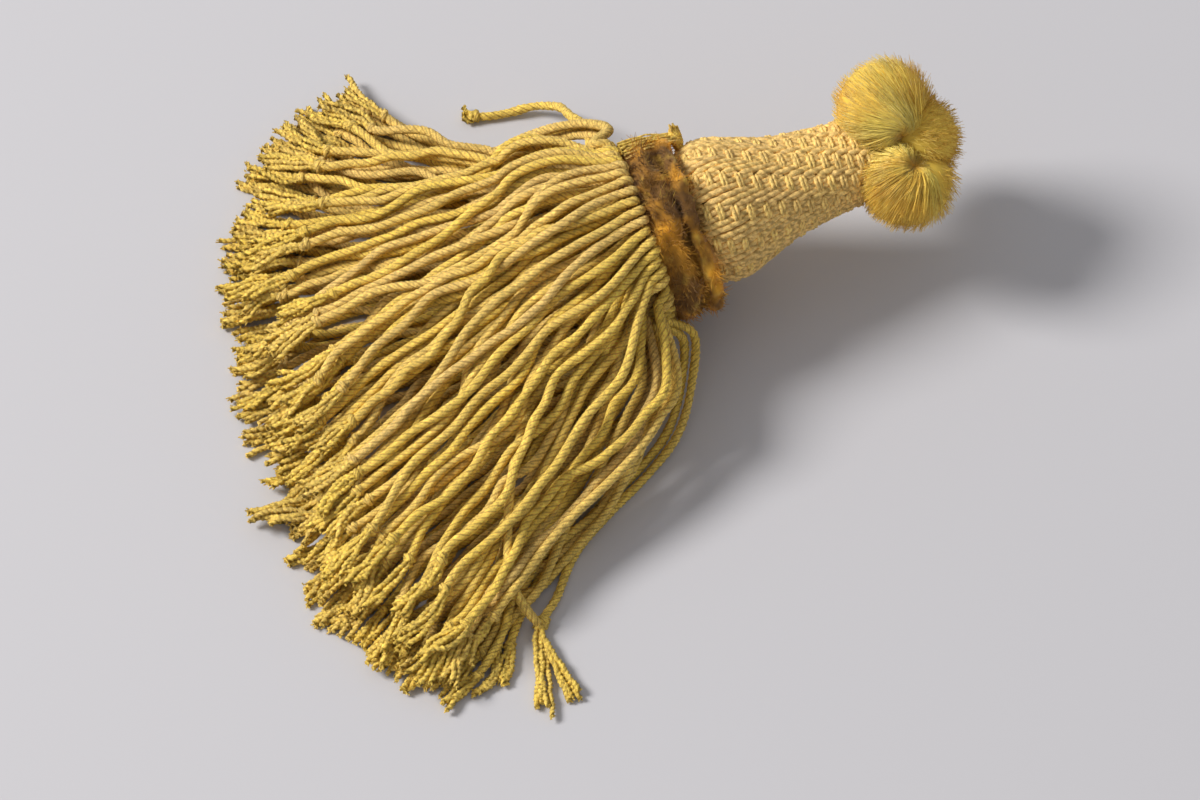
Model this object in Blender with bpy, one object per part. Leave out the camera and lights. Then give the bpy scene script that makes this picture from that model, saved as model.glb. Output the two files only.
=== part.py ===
"""Silk tassel lying on its side: fringe of cords, pile collar, plaited head and pompoms.

The head lies almost level, a little raised, and points to the right and back.
The fringe opens in a fan on the surface, to the left and front.
Lengths are metres unless a name ends in _MM or a comment says otherwise.
"""
import math

import bmesh
import bpy
import numpy as np
from mathutils import Matrix, Vector

MM = 0.001

# The head's axis: it passes through the waist, rises to the right and turns back
WAIST = Vector((0.0, 1.0, 21.7)) * MM
AXIS = Vector((0.939, 0.316, 0.134)).normalized()
ACROSS = Vector((0.0, 0.0, 1.0)).cross(AXIS).normalized()
ABOVE = AXIS.cross(ACROSS).normalized()

# Fringe: three rounds of cords on a cone, cut to about one length
CORDS_AROUND = 50
ROUND_COUNT = 3
ROUND_PITCH = 2.5 * MM
CONE_RADIUS = 20.9 * MM
CONE_START = -6.0 * MM
BACKING_THICKNESS = 0.8 * MM
BACKING_RIM = 19.8 * MM
CORD_WIDTH = 1.3 * MM
CORD_STATIONS = (0.0, 0.07, 0.2, 0.36, 0.55, 0.77, 1.0)
LAYER_PITCH = 1.9 * MM
EDGE_ROUNDNESS = 0.25
LOWER_LANDING = 0.45
EDGE_LANDING = 0.8
EDGE_DELAY = 0.2
UPPER_SAG = 0.10
ROLL_OUT = 0.30
ROUND_INSET = 0.02
SIDE_STEP = 0.12
END_SHORTER_ON_TOP = 0.10
END_UNEVEN = 0.055
GOLDEN = 0.6180339887

# Fan of the fringe in plan, from the back edge (share 0) to the front edge (share 1):
# share, leaving angle and pull, end position, arriving angle and pull (degrees, mm)
FAN_COLUMNS = ("share", "leave", "leave_pull", "end_x", "end_y", "arrive", "arrive_pull")
FAN_GUIDES = (
    (0.00, 158.0, 28.0, -66.0, 46.0, 142.0, 20.0),
    (0.10, 165.0, 28.0, -79.0, 35.0, 157.0, 24.0),
    (0.27, 180.0, 28.0, -91.0, 1.0, 180.0, 26.0),
    (0.50, 200.0, 30.0, -85.0, -42.0, 208.0, 28.0),
    (0.76, 224.0, 30.0, -66.0, -85.0, 229.0, 28.0),
    (0.92, 254.0, 30.0, -41.0, -100.0, 240.0, 28.0),
    (1.00, 284.0, 32.0, -25.0, -104.0, 252.0, 30.0),
)
# Cords lost from the sides of the rounds, as round and sector
LOST_CORDS = ((1, 13), (2, 13), (2, 37))
# A stray cord behind the fan: it runs back, then turns left along the surface
STRAY_CORD = (0, 13)
STRAY_GUIDE = (0.0, 104.0, 26.0, -40.0, 40.0, 188.0, 26.0)
WAVE_SIZE = 1.6 * MM

# Pile collar round the waist
COLLAR_AROUND = 23
COLLAR_SECTION = ((9.0, -4.9), (15.6, -4.9), (16.2, -0.9), (15.6, 3.0), (9.0, 3.0))
COLLAR_TUFT_LEAN = (-0.9 * MM, 1.1 * MM)
COLLAR_TUFT_REACH = (3.3 * MM, 3.5 * MM)

# Plaited head: axial position and radius, in mm, from the seat in the collar to the neck
HEAD_COLUMNS = ("axial", "radius")
HEAD_PROFILE = (
    (3.3, 10.4), (4.8, 12.5), (7.2, 13.7), (9.2, 14.1), (13.2, 13.5), (15.2, 12.7),
    (18.0, 11.8), (21.4, 10.6), (26.6, 9.5), (32.2, 8.7), (37.2, 8.2), (39.2, 7.6),
)
HEAD_FOOT = (-4.9, 8.7)
HEAD_STEM = (49.2, 2.5)
PLAIT_COLUMNS = 12
PLAIT_TICKS = 13
PLAIT_TICK_RISE = 0.40 * MM
PLAIT_BAND_RISE = 0.20 * MM

# Pompoms on the stem: three round it and one at the end
POMPOM_COLUMNS = ("axial", "distance", "turn", "radius", "start")
POMPOM_TABLE = (
    (48.0, 9.4, 26.0, 9.4, 39.8),
    (47.4, 8.6, -94.0, 9.2, 39.8),
    (48.0, 8.8, 146.0, 9.0, 39.8),
    (55.4, 1.2, -60.0, 7.4, 49.7),
)
POMPOM_AROUND = 8
POMPOM_BAND_ANGLES = (18.0, 52.0, 84.0, 116.0, 150.0)
POMPOM_TUFTED_BANDS = 3
POMPOM_CORE = 0.60
POMPOM_TUFT_TAPER = 0.78
PIECE_GAP = 0.3 * MM
STEM_CLEARANCE = 2.9 * MM

# Loose thread end tied over the top of the collar
TIE_COLUMNS = ("axial", "lift", "turn", "width")
TIE_PATH = (
    (-4.2, 20.9, 62.0, 1.6),
    (-1.5, 21.2, 58.0, 2.2),
    (1.4, 20.9, 55.0, 2.0),
    (3.2, 20.2, 53.0, 3.0),
)
TIE_HALF_HEIGHT = 0.6 * MM

COLOURS = {
    "fringe": (0.50, 0.34, 0.08, 0.62),
    "collar": (0.30, 0.15, 0.02, 0.9),
    "head": (0.55, 0.38, 0.13, 0.62),
    "pompom": (0.60, 0.40, 0.06, 0.5),
    "tie": (0.52, 0.36, 0.10, 0.6),
}


def clear_scene():
    """Remove the objects that a new file starts with."""
    for item in list(bpy.data.objects):
        bpy.data.objects.remove(item, do_unlink=True)


def material(name):
    """Principled material in one of the part's colours."""
    red, green, blue, rough = COLOURS[name]
    made = bpy.data.materials.new(name)
    made.use_nodes = True
    shader = made.node_tree.nodes["Principled BSDF"]
    shader.inputs["Base Color"].default_value = (red, green, blue, 1.0)
    shader.inputs["Roughness"].default_value = rough
    shader.inputs["Metallic"].default_value = 0.0
    return made


def add_object(name, mesh_data, made_material):
    """Object of a finished bmesh, with outward faces."""
    bmesh.ops.recalc_face_normals(mesh_data, faces=mesh_data.faces)
    mesh = bpy.data.meshes.new(name)
    mesh_data.to_mesh(mesh)
    mesh_data.free()
    mesh.materials.append(made_material)
    item = bpy.data.objects.new(name, mesh)
    bpy.context.scene.collection.objects.link(item)
    return item


def radial(turn):
    """Unit vector across the axis at a turn from straight above, towards the back."""
    return ABOVE * math.cos(turn) + ACROSS * math.sin(turn)


def on_axis(axial, distance=0.0, turn=0.0):
    """Point at an axial position, a distance from the axis and a turn round it."""
    return WAIST + AXIS * axial + radial(turn) * distance


def bridge_rings(mesh_data, first, second):
    """Quads between two closed rings of vertices."""
    count = len(first)
    for i in range(count):
        j = (i + 1) % count
        mesh_data.faces.new((first[i], first[j], second[j], second[i]))


def close_ring(mesh_data, ring, tip):
    """Triangles from a closed ring to one vertex."""
    count = len(ring)
    for i in range(count):
        mesh_data.faces.new((ring[i], ring[(i + 1) % count], tip))


def smooth_step(value):
    """Ease from 0 to 1."""
    value = min(max(value, 0.0), 1.0)
    return value * value * (3.0 - 2.0 * value)


def fan_guide(share):
    """Row of the fan at a share, read from a smooth curve through the guides."""
    table = np.array(FAN_GUIDES)
    shares = table[:, 0]
    row = {}
    for column, name in enumerate(FAN_COLUMNS):
        values = table[:, column]
        slopes = np.gradient(values, shares)
        k = int(np.clip(np.searchsorted(shares, share) - 1, 0, len(shares) - 2))
        span = shares[k + 1] - shares[k]
        f = (share - shares[k]) / span
        first = (1 + 2 * f) * (1 - f) ** 2 * values[k] + f * (1 - f) ** 2 * span * slopes[k]
        last = f * f * (3 - 2 * f) * values[k + 1] + f * f * (f - 1) * span * slopes[k + 1]
        row[name] = first + last
    return row


def plan_curve(root, row, share, t):
    """Plan position of a cord at t of its way from the root to its end."""
    leave = math.radians(row["leave"])
    arrive = math.radians(row["arrive"])
    end = Vector((row["end_x"] * MM, row["end_y"] * MM))
    first = root + Vector((math.cos(leave), math.sin(leave))) * row["leave_pull"] * MM
    last = end - Vector((math.cos(arrive), math.sin(arrive))) * row["arrive_pull"] * MM
    spare = 1.0 - t
    point = root * spare ** 3 + first * (3 * t * spare ** 2)
    point += last * (3 * t * t * spare) + end * t ** 3
    sideways = Vector((-math.sin(arrive), math.cos(arrive)))
    wave = math.sin(2 * math.pi * (1.3 * t + 2.2 * share)) * t * (1.2 - t)
    return point + sideways * wave * WAVE_SIZE * 2.0


def end_height(round_index, upper, share):
    """Height of a cord's middle at its end: the rounds lie on each other, thinner at the edges."""
    crown = math.sin(math.pi * share) ** EDGE_ROUNDNESS if 0.0 < share < 1.0 else 0.0
    level = 2 * ROUND_COUNT - 1 - round_index if upper else round_index
    height = CORD_WIDTH / 2 + level * LAYER_PITCH * crown
    if upper:
        height += LAYER_PITCH * (1.0 - crown)
    return height


def cord_height(root_height, end, upper, share, t):
    """Height of a cord at t of its way: the lower half reaches the surface early."""
    if upper:
        fallen = smooth_step(t * 0.72) / smooth_step(0.72)
        fallen = fallen * (1.0 - UPPER_SAG * math.sin(math.pi * t)) + UPPER_SAG * math.sin(math.pi * t)
    else:
        middle = math.sin(math.pi * share)
        landing = EDGE_LANDING + (LOWER_LANDING - EDGE_LANDING) * middle
        fallen = min(1.0, max(0.0, t - EDGE_DELAY * (1.0 - middle)) / landing)
        fallen = 1.0 - (1.0 - fallen) ** 2
    return root_height + (end - root_height) * fallen


def cord_layout():
    """Stations of every cord, from its root on the cone to its end on the surface."""
    cords = []
    per_half = CORDS_AROUND // 2
    for round_index in range(ROUND_COUNT):
        radius = CONE_RADIUS - ROUND_PITCH * (round_index + 0.5)
        axial = CONE_START - ROUND_PITCH * (round_index + 0.5)
        for sector in range(CORDS_AROUND):
            turn = 2 * math.pi * (sector + 0.5) / CORDS_AROUND
            upper = math.cos(turn) > 0.0
            share = math.acos(math.sin(turn)) / math.pi
            side_step = (round_index - 1) * SIDE_STEP / per_half * math.cos(math.pi * share)
            inset = ROUND_INSET * round_index
            fan_share = inset + (1.0 - 2.0 * inset) * share + side_step
            uneven = ((round_index * CORDS_AROUND + sector) * GOLDEN) % 1.0
            reach = 1.0 - END_UNEVEN * uneven
            if upper:
                reach -= END_SHORTER_ON_TOP * math.cos(turn) * (1.0 - 0.3 * round_index)
            root = on_axis(axial, radius, turn)
            row = fan_guide(fan_share)
            end = end_height(round_index, upper, share)
            if (round_index, sector) == STRAY_CORD:
                row = dict(zip(FAN_COLUMNS, STRAY_GUIDE))
                reach = 1.0
                end = CORD_WIDTH / 2
            points = []
            for station in CORD_STATIONS:
                t = station * reach
                plan = plan_curve(root.xy, row, fan_share, t)
                points.append(Vector((*plan, cord_height(root.z, end, upper, share, t))))
            cords.append({"round": round_index, "sector": sector, "turn": turn, "points": points})
    return cords


def section_frame(cord, way, t):
    """Outward and round-going unit vectors of a cord's section, for a way it heads."""
    turn = cord["turn"]
    swing = (-AXIS).rotation_difference(way)
    ring_out = swing @ radial(turn)
    level = way.cross(Vector((0.0, 0.0, 1.0))).normalized()
    upright = level.cross(way).normalized()
    quarter = int(round(turn / (math.pi / 2))) % 4
    flat_out = (upright, level, -upright, -level)[quarter]
    angle = math.atan2(way.dot(flat_out.cross(ring_out)), flat_out.dot(ring_out))
    roll = angle * (1.0 - smooth_step(t / ROLL_OUT))
    outward = Matrix.Rotation(roll, 3, way) @ flat_out
    return outward, outward.cross(way)


def add_cord(mesh_data, corners, cord):
    """Four-sided strand from a root face's corners along the cord's stations."""
    points = cord["points"]
    last = len(points) - 1
    previous = corners
    for k in range(1, last + 1):
        way = (points[min(k + 1, last)] - points[k - 1]).normalized()
        outward, onward = section_frame(cord, way, CORD_STATIONS[k])
        half = CORD_WIDTH / 2
        centre = points[k]
        ring = []
        for out_sign, on_sign in ((1, -1), (1, 1), (-1, 1), (-1, -1)):
            spot = centre + outward * (half * out_sign) - onward * (half * on_sign)
            ring.append(mesh_data.verts.new(spot))
        bridge_rings(mesh_data, previous, ring)
        previous = ring
    mesh_data.faces.new(previous)


def build_fringe():
    """Cone of rooted cords, closed at its back and at its small end."""
    mesh_data = bmesh.new()
    rings = []
    for ring_index in range(ROUND_COUNT + 1):
        axial = CONE_START - ROUND_PITCH * ring_index
        radius = CONE_RADIUS - ROUND_PITCH * ring_index
        ring = []
        for sector in range(CORDS_AROUND):
            turn = 2 * math.pi * sector / CORDS_AROUND
            ring.append(mesh_data.verts.new(on_axis(axial, radius, turn)))
        rings.append(ring)
    back_axial = CONE_START + BACKING_THICKNESS
    back = []
    for sector in range(CORDS_AROUND):
        turn = 2 * math.pi * sector / CORDS_AROUND
        back.append(mesh_data.verts.new(on_axis(back_axial, BACKING_RIM, turn)))
    bridge_rings(mesh_data, back, rings[0])
    close_ring(mesh_data, back, mesh_data.verts.new(on_axis(back_axial)))
    inner_axial = CONE_START - ROUND_PITCH * ROUND_COUNT
    close_ring(mesh_data, rings[-1], mesh_data.verts.new(on_axis(inner_axial)))
    for cord in cord_layout():
        i = cord["sector"]
        j = (i + 1) % CORDS_AROUND
        outer = rings[cord["round"]]
        inner = rings[cord["round"] + 1]
        corners = (outer[i], outer[j], inner[j], inner[i])
        if (cord["round"], i) in LOST_CORDS:
            mesh_data.faces.new(corners)
        else:
            add_cord(mesh_data, corners, cord)
    return add_object("fringe", mesh_data, material("fringe"))


def add_tuft(mesh_data, corners, tips):
    """Lock from a root face's corners to its tip corners."""
    ring = [mesh_data.verts.new(tip) for tip in tips]
    bridge_rings(mesh_data, corners, ring)
    mesh_data.faces.new(ring)


def build_collar():
    """Ring of pile with two rows of locks."""
    mesh_data = bmesh.new()
    columns = []
    for sector in range(COLLAR_AROUND):
        turn = 2 * math.pi * sector / COLLAR_AROUND
        column = []
        for radius, axial in COLLAR_SECTION:
            column.append(mesh_data.verts.new(on_axis(axial * MM, radius * MM, turn)))
        columns.append(column)
    count = len(COLLAR_SECTION)
    for sector in range(COLLAR_AROUND):
        here = columns[sector]
        there = columns[(sector + 1) % COLLAR_AROUND]
        for row in range(count):
            other = (row + 1) % count
            corners = (here[row], here[other], there[other], there[row])
            if row not in (1, 2):
                mesh_data.faces.new(corners)
                continue
            middle = sum((corner.co for corner in corners), Vector()) / 4
            turn = 2 * math.pi * (sector + 0.5) / COLLAR_AROUND
            uneven = (sector * GOLDEN + row * 0.37) % 1.0 - 0.5
            reach = COLLAR_TUFT_REACH[row - 1] * (1.0 + 0.16 * uneven)
            push = radial(turn) * reach + AXIS * COLLAR_TUFT_LEAN[row - 1]
            tips = [middle + (corner.co - middle) * 0.80 + push for corner in corners]
            tips = [limit_axial(tip, -4.9 * MM, 4.2 * MM) for tip in tips]
            add_tuft(mesh_data, corners, tips)
    return add_object("collar", mesh_data, material("collar"))


def limit_axial(point, low, high):
    """Point moved along the axis into a range of axial positions."""
    axial = (point - WAIST).dot(AXIS)
    return point + AXIS * (min(max(axial, low), high) - axial)


def head_rings():
    """Axial position and radius of the rings between half ticks, and of the rounded rim."""
    table = np.array(HEAD_PROFILE)
    first, last = table[1, 0], table[-2, 0]
    pitch_first, pitch_last = 1.25, 0.75
    steps = np.linspace(0.0, 1.0, 2 * PLAIT_TICKS + 1)
    eased = steps * pitch_first + steps ** 2 * (pitch_last - pitch_first) / 2
    eased = eased / eased[-1]
    rings = []
    for axial in first + (last - first) * eased:
        rings.append((axial, float(np.interp(axial, table[:, 0], table[:, 1]))))
    return rings


def build_head():
    """Turned head with raised plait, its foot in the collar and its stem in the pompoms."""
    mesh_data = bmesh.new()
    around = PLAIT_COLUMNS * 3

    def ring_at(axial, radii):
        ring = []
        for k in range(around):
            turn = 2 * math.pi * k / around
            ring.append(mesh_data.verts.new(on_axis(axial * MM, radii[k], turn)))
        return ring

    def plain_ring(axial, radius):
        return ring_at(axial, [radius * MM] * around)

    foot_axial, foot_radius = HEAD_FOOT
    stem_axial, stem_radius = HEAD_STEM
    rim_axial, rim_radius = HEAD_PROFILE[0]
    end_axial, end_radius = HEAD_PROFILE[-1]
    foot = plain_ring(foot_axial, foot_radius)
    neck = plain_ring(rim_axial, foot_radius)
    bridge_rings(mesh_data, foot, neck)
    close_ring(mesh_data, foot, mesh_data.verts.new(on_axis(foot_axial * MM)))
    previous = plain_ring(rim_axial, rim_radius)
    bridge_rings(mesh_data, neck, previous)
    for number, (axial, radius) in enumerate(head_rings()):
        radii = []
        for k in range(around):
            on_tick = k % 3 == 0
            raise_tick = PLAIT_TICK_RISE if number % 2 else -PLAIT_TICK_RISE
            radii.append(radius * MM + (raise_tick if on_tick else PLAIT_BAND_RISE))
        ring = ring_at(axial, radii)
        bridge_rings(mesh_data, previous, ring)
        previous = ring
    shoulder = plain_ring(end_axial, end_radius)
    bridge_rings(mesh_data, previous, shoulder)
    stem_start = plain_ring(end_axial, stem_radius)
    bridge_rings(mesh_data, shoulder, stem_start)
    stem_end = plain_ring(stem_axial, stem_radius)
    bridge_rings(mesh_data, stem_start, stem_end)
    close_ring(mesh_data, stem_end, mesh_data.verts.new(on_axis(stem_axial * MM)))
    return add_object("head", mesh_data, material("head"))


def pompom_places():
    """Centre, way out from the stem and radius of each pompom."""
    places = []
    for axial, distance, turn, radius, start in POMPOM_TABLE:
        angle = math.radians(turn)
        centre = on_axis(axial * MM, distance * MM, angle)
        outward = radial(angle)
        if distance < radius / 2:
            outward = (AXIS + radial(angle) * 0.25).normalized()
        places.append((centre, outward, radius * MM, start * MM))
    return places


def parted(point, number, places):
    """Point kept on its own pompom's side of the planes between pompoms, and off the stem."""
    centre, _, _, start = places[number]
    for other, place in enumerate(places):
        if other == number:
            continue
        there = place[0]
        way = (there - centre).normalized()
        over = (point - (centre + there) / 2).dot(way) + PIECE_GAP / 2
        if over > 0.0:
            point = point - way * over
    axial = (point - WAIST).dot(AXIS)
    if axial < start:
        point = point + AXIS * (start - axial)
        axial = start
    stem_end = HEAD_STEM[0] * MM
    foot = WAIST + AXIS * axial
    away = point - foot
    if axial < stem_end + PIECE_GAP and away.length < STEM_CLEARANCE:
        point = foot + away.normalized() * STEM_CLEARANCE
    return point


def build_pompom(number, places):
    """Ball of pile with locks over its outer bands."""
    centre, outward, radius, _ = places[number]
    side = outward.orthogonal().normalized()
    other_side = outward.cross(side)
    mesh_data = bmesh.new()

    def spot(angle, turn, distance):
        flat = side * math.cos(turn) + other_side * math.sin(turn)
        way = outward * math.cos(angle) + flat * math.sin(angle)
        return parted(centre + way * distance, number, places)

    core = radius * POMPOM_CORE
    rings = []
    for angle in POMPOM_BAND_ANGLES:
        ring = []
        for k in range(POMPOM_AROUND):
            turn = 2 * math.pi * k / POMPOM_AROUND
            ring.append(mesh_data.verts.new(spot(math.radians(angle), turn, core)))
        rings.append(ring)
    dimple = parted(centre + outward * core * 0.8, number, places)
    root = parted(centre - outward * core, number, places)
    close_ring(mesh_data, rings[0], mesh_data.verts.new(dimple))
    close_ring(mesh_data, rings[-1], mesh_data.verts.new(root))
    for band in range(len(rings) - 1):
        for k in range(POMPOM_AROUND):
            j = (k + 1) % POMPOM_AROUND
            corners = (rings[band][k], rings[band][j], rings[band + 1][j], rings[band + 1][k])
            if band >= POMPOM_TUFTED_BANDS:
                mesh_data.faces.new(corners)
                continue
            low, high = POMPOM_BAND_ANGLES[band], POMPOM_BAND_ANGLES[band + 1]
            trim = (high - low) * (1.0 - POMPOM_TUFT_TAPER) / 2
            step = 2 * math.pi / POMPOM_AROUND
            turn_trim = step * (1.0 - POMPOM_TUFT_TAPER) / 2
            uneven = ((band * POMPOM_AROUND + k) * GOLDEN + number * 0.31) % 1.0
            reach = radius * (0.94 + 0.08 * uneven)
            tips = []
            for angle, turn in (
                (low + trim, k * step + turn_trim),
                (low + trim, (k + 1) * step - turn_trim),
                (high - trim, (k + 1) * step - turn_trim),
                (high - trim, k * step + turn_trim),
            ):
                tips.append(spot(math.radians(angle), turn, reach))
            add_tuft(mesh_data, corners, tips)
    return add_object(f"pompom_{number + 1}", mesh_data, material("pompom"))


def build_tie_end():
    """Short thread end that lies over the collar's top."""
    mesh_data = bmesh.new()
    rings = []
    for axial, lift, turn, width in TIE_PATH:
        angle = math.radians(turn)
        centre = on_axis(axial * MM, lift * MM, angle)
        outward = radial(angle)
        onward = AXIS.cross(outward)
        half = width * MM / 2
        ring = []
        for out_sign, on_sign in ((1, -1), (1, 1), (-1, 1), (-1, -1)):
            spot = centre + outward * (TIE_HALF_HEIGHT * out_sign) + onward * (half * on_sign)
            ring.append(mesh_data.verts.new(spot))
        rings.append(ring)
    for first, second in zip(rings, rings[1:]):
        bridge_rings(mesh_data, first, second)
    mesh_data.faces.new(rings[0])
    mesh_data.faces.new(rings[-1])
    return add_object("tie_end", mesh_data, material("tie"))


def centre_on_origin(items):
    """Move all meshes so that the middle of the footprint is at the origin, on the surface."""
    points = [vertex.co for item in items for vertex in item.data.vertices]
    low = Vector([min(point[k] for point in points) for k in range(3)])
    high = Vector([max(point[k] for point in points) for k in range(3)])
    shift = Vector((-(low.x + high.x) / 2, -(low.y + high.y) / 2, -low.z))
    for item in items:
        item.data.transform(Matrix.Translation(shift))


def main():
    """Build every piece of the tassel."""
    clear_scene()
    places = pompom_places()
    items = [build_fringe(), build_collar(), build_head(), build_tie_end()]
    items += [build_pompom(number, places) for number in range(len(places))]
    centre_on_origin(items)


main()
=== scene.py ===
"""Looks of the silk tassel: twisted cords with knots and brushes, worn pile collar, plaited head, pompoms.

The strands follow the same fan as the part's, with many more points, and then settle on each other.
Everything is built in metres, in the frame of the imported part, and stays with the one body.
"""
import math

import bmesh
import bpy
import numpy as np
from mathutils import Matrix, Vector
from mathutils.kdtree import KDTree


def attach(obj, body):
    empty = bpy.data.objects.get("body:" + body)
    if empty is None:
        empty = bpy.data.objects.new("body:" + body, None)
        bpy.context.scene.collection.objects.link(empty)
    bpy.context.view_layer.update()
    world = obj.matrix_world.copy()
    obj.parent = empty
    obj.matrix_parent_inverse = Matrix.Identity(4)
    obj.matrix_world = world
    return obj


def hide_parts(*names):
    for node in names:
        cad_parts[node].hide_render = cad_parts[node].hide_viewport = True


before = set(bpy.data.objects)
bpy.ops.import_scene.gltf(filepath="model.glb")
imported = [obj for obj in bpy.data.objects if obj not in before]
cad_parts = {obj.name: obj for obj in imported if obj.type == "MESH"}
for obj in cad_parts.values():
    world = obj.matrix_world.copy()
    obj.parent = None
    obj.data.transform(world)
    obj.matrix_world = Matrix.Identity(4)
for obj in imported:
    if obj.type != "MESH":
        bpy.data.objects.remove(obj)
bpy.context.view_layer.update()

bl_info = {
    "name": "Silk tassel",
    "version": (1, 0, 0),
    "blender": (4, 5, 0),
    "location": "View3D > Sidebar > Tassel",
    "description": "Twisted cords, pile collar, plaited head and pompoms of a silk tassel",
    "category": "Add Mesh",
}

MM = 0.001
FULL_TURN = 2 * math.pi

# The part's frame is its own drawing moved by this much
DRAWING_SHIFT = np.array((15.6, 28.0, 0.0)) * MM
UP = np.array((0.0, 0.0, 1.0))
WAIST = np.array(Vector((0.0, 1.0, 21.7)) * MM)
AXIS_LINE = Vector((0.939, 0.316, 0.134)).normalized()
ACROSS_LINE = Vector(UP).cross(AXIS_LINE).normalized()
AXIS, ACROSS = np.array(AXIS_LINE), np.array(ACROSS_LINE)
ABOVE = np.array(AXIS_LINE.cross(ACROSS_LINE).normalized())

# Fan of the fringe, as in the part: share, leaving angle and pull, end, arriving angle and pull
FAN_GUIDES = (
    (0.00, 168.0, 22.0, -70.0, 50.5, 137.0, 34.0),
    (0.10, 165.0, 27.0, -83.5, 38.5, 146.0, 27.0),
    (0.27, 180.0, 28.0, -92.5, 3.0, 180.0, 26.0),
    (0.50, 200.0, 30.0, -85.5, -41.5, 208.0, 28.0),
    (0.76, 226.0, 31.0, -67.5, -86.0, 228.0, 28.0),
    (0.92, 272.0, 32.0, -49.5, -98.5, 236.0, 29.0),
    (1.00, 308.0, 36.0, -41.5, -96.0, 250.0, 27.0),
)
CORDS_AROUND = 50
ROUND_COUNT = 3
ROUND_PITCH = 2.5 * MM
CONE_RADIUS = 20.9 * MM
CONE_START = -7.8 * MM
CORD_STATIONS = 76

# How a cord leaves the collar: its bend inside, then a shoulder that is higher towards one turn
START_BEND = 1.9 * MM
START_STEP = 0.9 * MM
SHOULDER = 2.9 * MM
SHOULDER_END = 0.24
SHOULDER_MORE = 0.9
SHOULDER_TURN = 66.0
SHOULDER_SPAN = 24.0

# How high a cord lies and where it comes down, as shares of its run
LOWEST_LINE = 1.0 * MM
LAYER_PITCH = 1.9 * MM
EDGE_ROUNDNESS = 0.25
LOWER_LANDING = 0.45
EDGE_LANDING = 0.8
EDGE_DELAY = 0.2
UPPER_SAG = 0.10
UPPER_FALL = 0.72
ROUND_INSET = 0.02
SIDE_STEP = 0.12
END_SHORTER_ON_TOP = 0.10
END_UNEVEN = 0.055
GOLDEN = 0.6180339887
WAVE_SIZE = 1.6 * MM

# Cords with their own way, by round and sector: brush length and points after the root, in mm
OWN_WAYS = {
    (0, 13): (3.2, (
        (-17.0, 27.6, 17.5), (-20.5, 34.6, 12.5), (-22.3, 40.3, 7.5), (-24.0, 43.4, 4.0),
        (-28.0, 44.6, 2.3), (-33.0, 43.7, 1.3), (-38.0, 42.8, 1.2), (-42.6, 43.2, 1.2),
    )),
    (0, 8): (9.0, (
        (-13.0, 22.5, 24.5), (-18.4, 28.6, 17.8), (-24.4, 31.6, 12.2), (-30.0, 32.2, 8.2),
        (-36.0, 30.9, 5.2), (-41.4, 30.6, 3.8), (-46.4, 32.8, 2.9), (-52.4, 37.3, 2.2),
        (-58.4, 42.0, 1.8), (-66.0, 45.6, 1.5), (-69.2, 46.6, 1.3),
    )),
    (0, 9): (8.5, (
        (-13.8, 21.3, 22.5), (-19.2, 27.0, 16.0), (-25.2, 29.8, 10.4), (-30.8, 30.2, 6.4),
        (-36.6, 28.8, 3.4), (-43.0, 28.4, 1.9), (-49.0, 32.4, 1.2), (-55.4, 37.6, 1.1),
        (-61.0, 41.6, 1.1), (-68.2, 45.4, 1.1),
    )),
    (0, 7): (9.5, (
        (-12.6, 20.4, 26.6), (-18.0, 26.6, 20.4), (-24.4, 29.4, 14.8), (-30.6, 29.6, 10.4),
        (-36.8, 28.2, 7.2), (-43.6, 28.0, 5.4), (-50.0, 31.8, 4.2), (-56.4, 36.6, 3.4),
        (-62.4, 40.8, 2.8), (-70.4, 45.0, 2.2),
    )),
    (0, 10): (8.0, (
        (-13.4, 25.6, 19.2), (-18.6, 31.0, 12.8), (-24.0, 33.2, 8.0), (-30.0, 33.0, 4.6),
        (-36.4, 31.0, 2.6), (-42.0, 30.2, 1.6), (-47.6, 34.0, 1.2), (-54.0, 39.4, 1.1),
        (-60.4, 43.8, 1.1), (-67.0, 48.0, 1.1),
    )),
    (0, 36): (10.0, (
        (2.2, -19.6, 10.4), (1.8, -27.2, 5.6), (-0.9, -36.6, 2.8), (-6.4, -44.6, 1.5),
        (-13.6, -52.8, 1.1), (-21.8, -63.4, 1.1), (-27.4, -73.0, 1.1), (-31.4, -84.0, 1.1),
        (-33.6, -96.0, 1.1),
    )),
    (0, 37): (23.2, (
        (4.4, -19.0, 11.0), (3.9, -27.5, 6.4), (1.0, -37.8, 3.0), (-4.8, -46.0, 1.4),
        (-12.0, -54.6, 1.1), (-19.8, -66.0, 1.1), (-23.2, -76.0, 1.1), (-26.2, -82.2, 1.3),
        (-25.2, -92.0, 1.2), (-23.0, -103.4, 1.0),
    )),
    (0, 40): (0.0, (
        (-7.5, -20.5, 26.5), (-15.5, -24.5, 23.0), (-22.4, -30.0, 20.0), (-27.4, -38.5, 16.8),
        (-30.4, -49.8, 18.2), (-31.8, -58.6, 16.6), (-32.4, -66.4, 14.0), (-32.2, -73.8, 10.8),
        (-30.4, -79.0, 7.0), (-28.0, -81.4, 4.0), (-26.5, -82.2, 2.2),
    )),
}
LONG_BRUSH = 15.0

# Waves that move the cords sideways: waves along a cord and size; bundles: across, along, phase and size
SIDE_WAVES = (((0.7, 1.3, 2.1), 1.2 * MM), ((3.2, 4.5), 0.5 * MM), ((6.5, 9.0), 0.20 * MM))
BUNDLES = ((4.5, 0.8, 1.9, 1.9 * MM), (9.0, -1.3, 4.37, 1.0 * MM))
DRIFT = 2.6 * MM
LIFT_WAVE = 0.5 * MM

# Settling: search reach, steps between searches, sinking a step, last steps without it, stiffness, floor
SETTLE_REACH = 3.6 * MM
SETTLE_SEARCH = 10
SETTLE_SINK = 0.06 * MM
SETTLE_CALM = 20
SETTLE_STIFF = 0.45
SETTLE_FLOOR = 1.2 * MM

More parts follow.
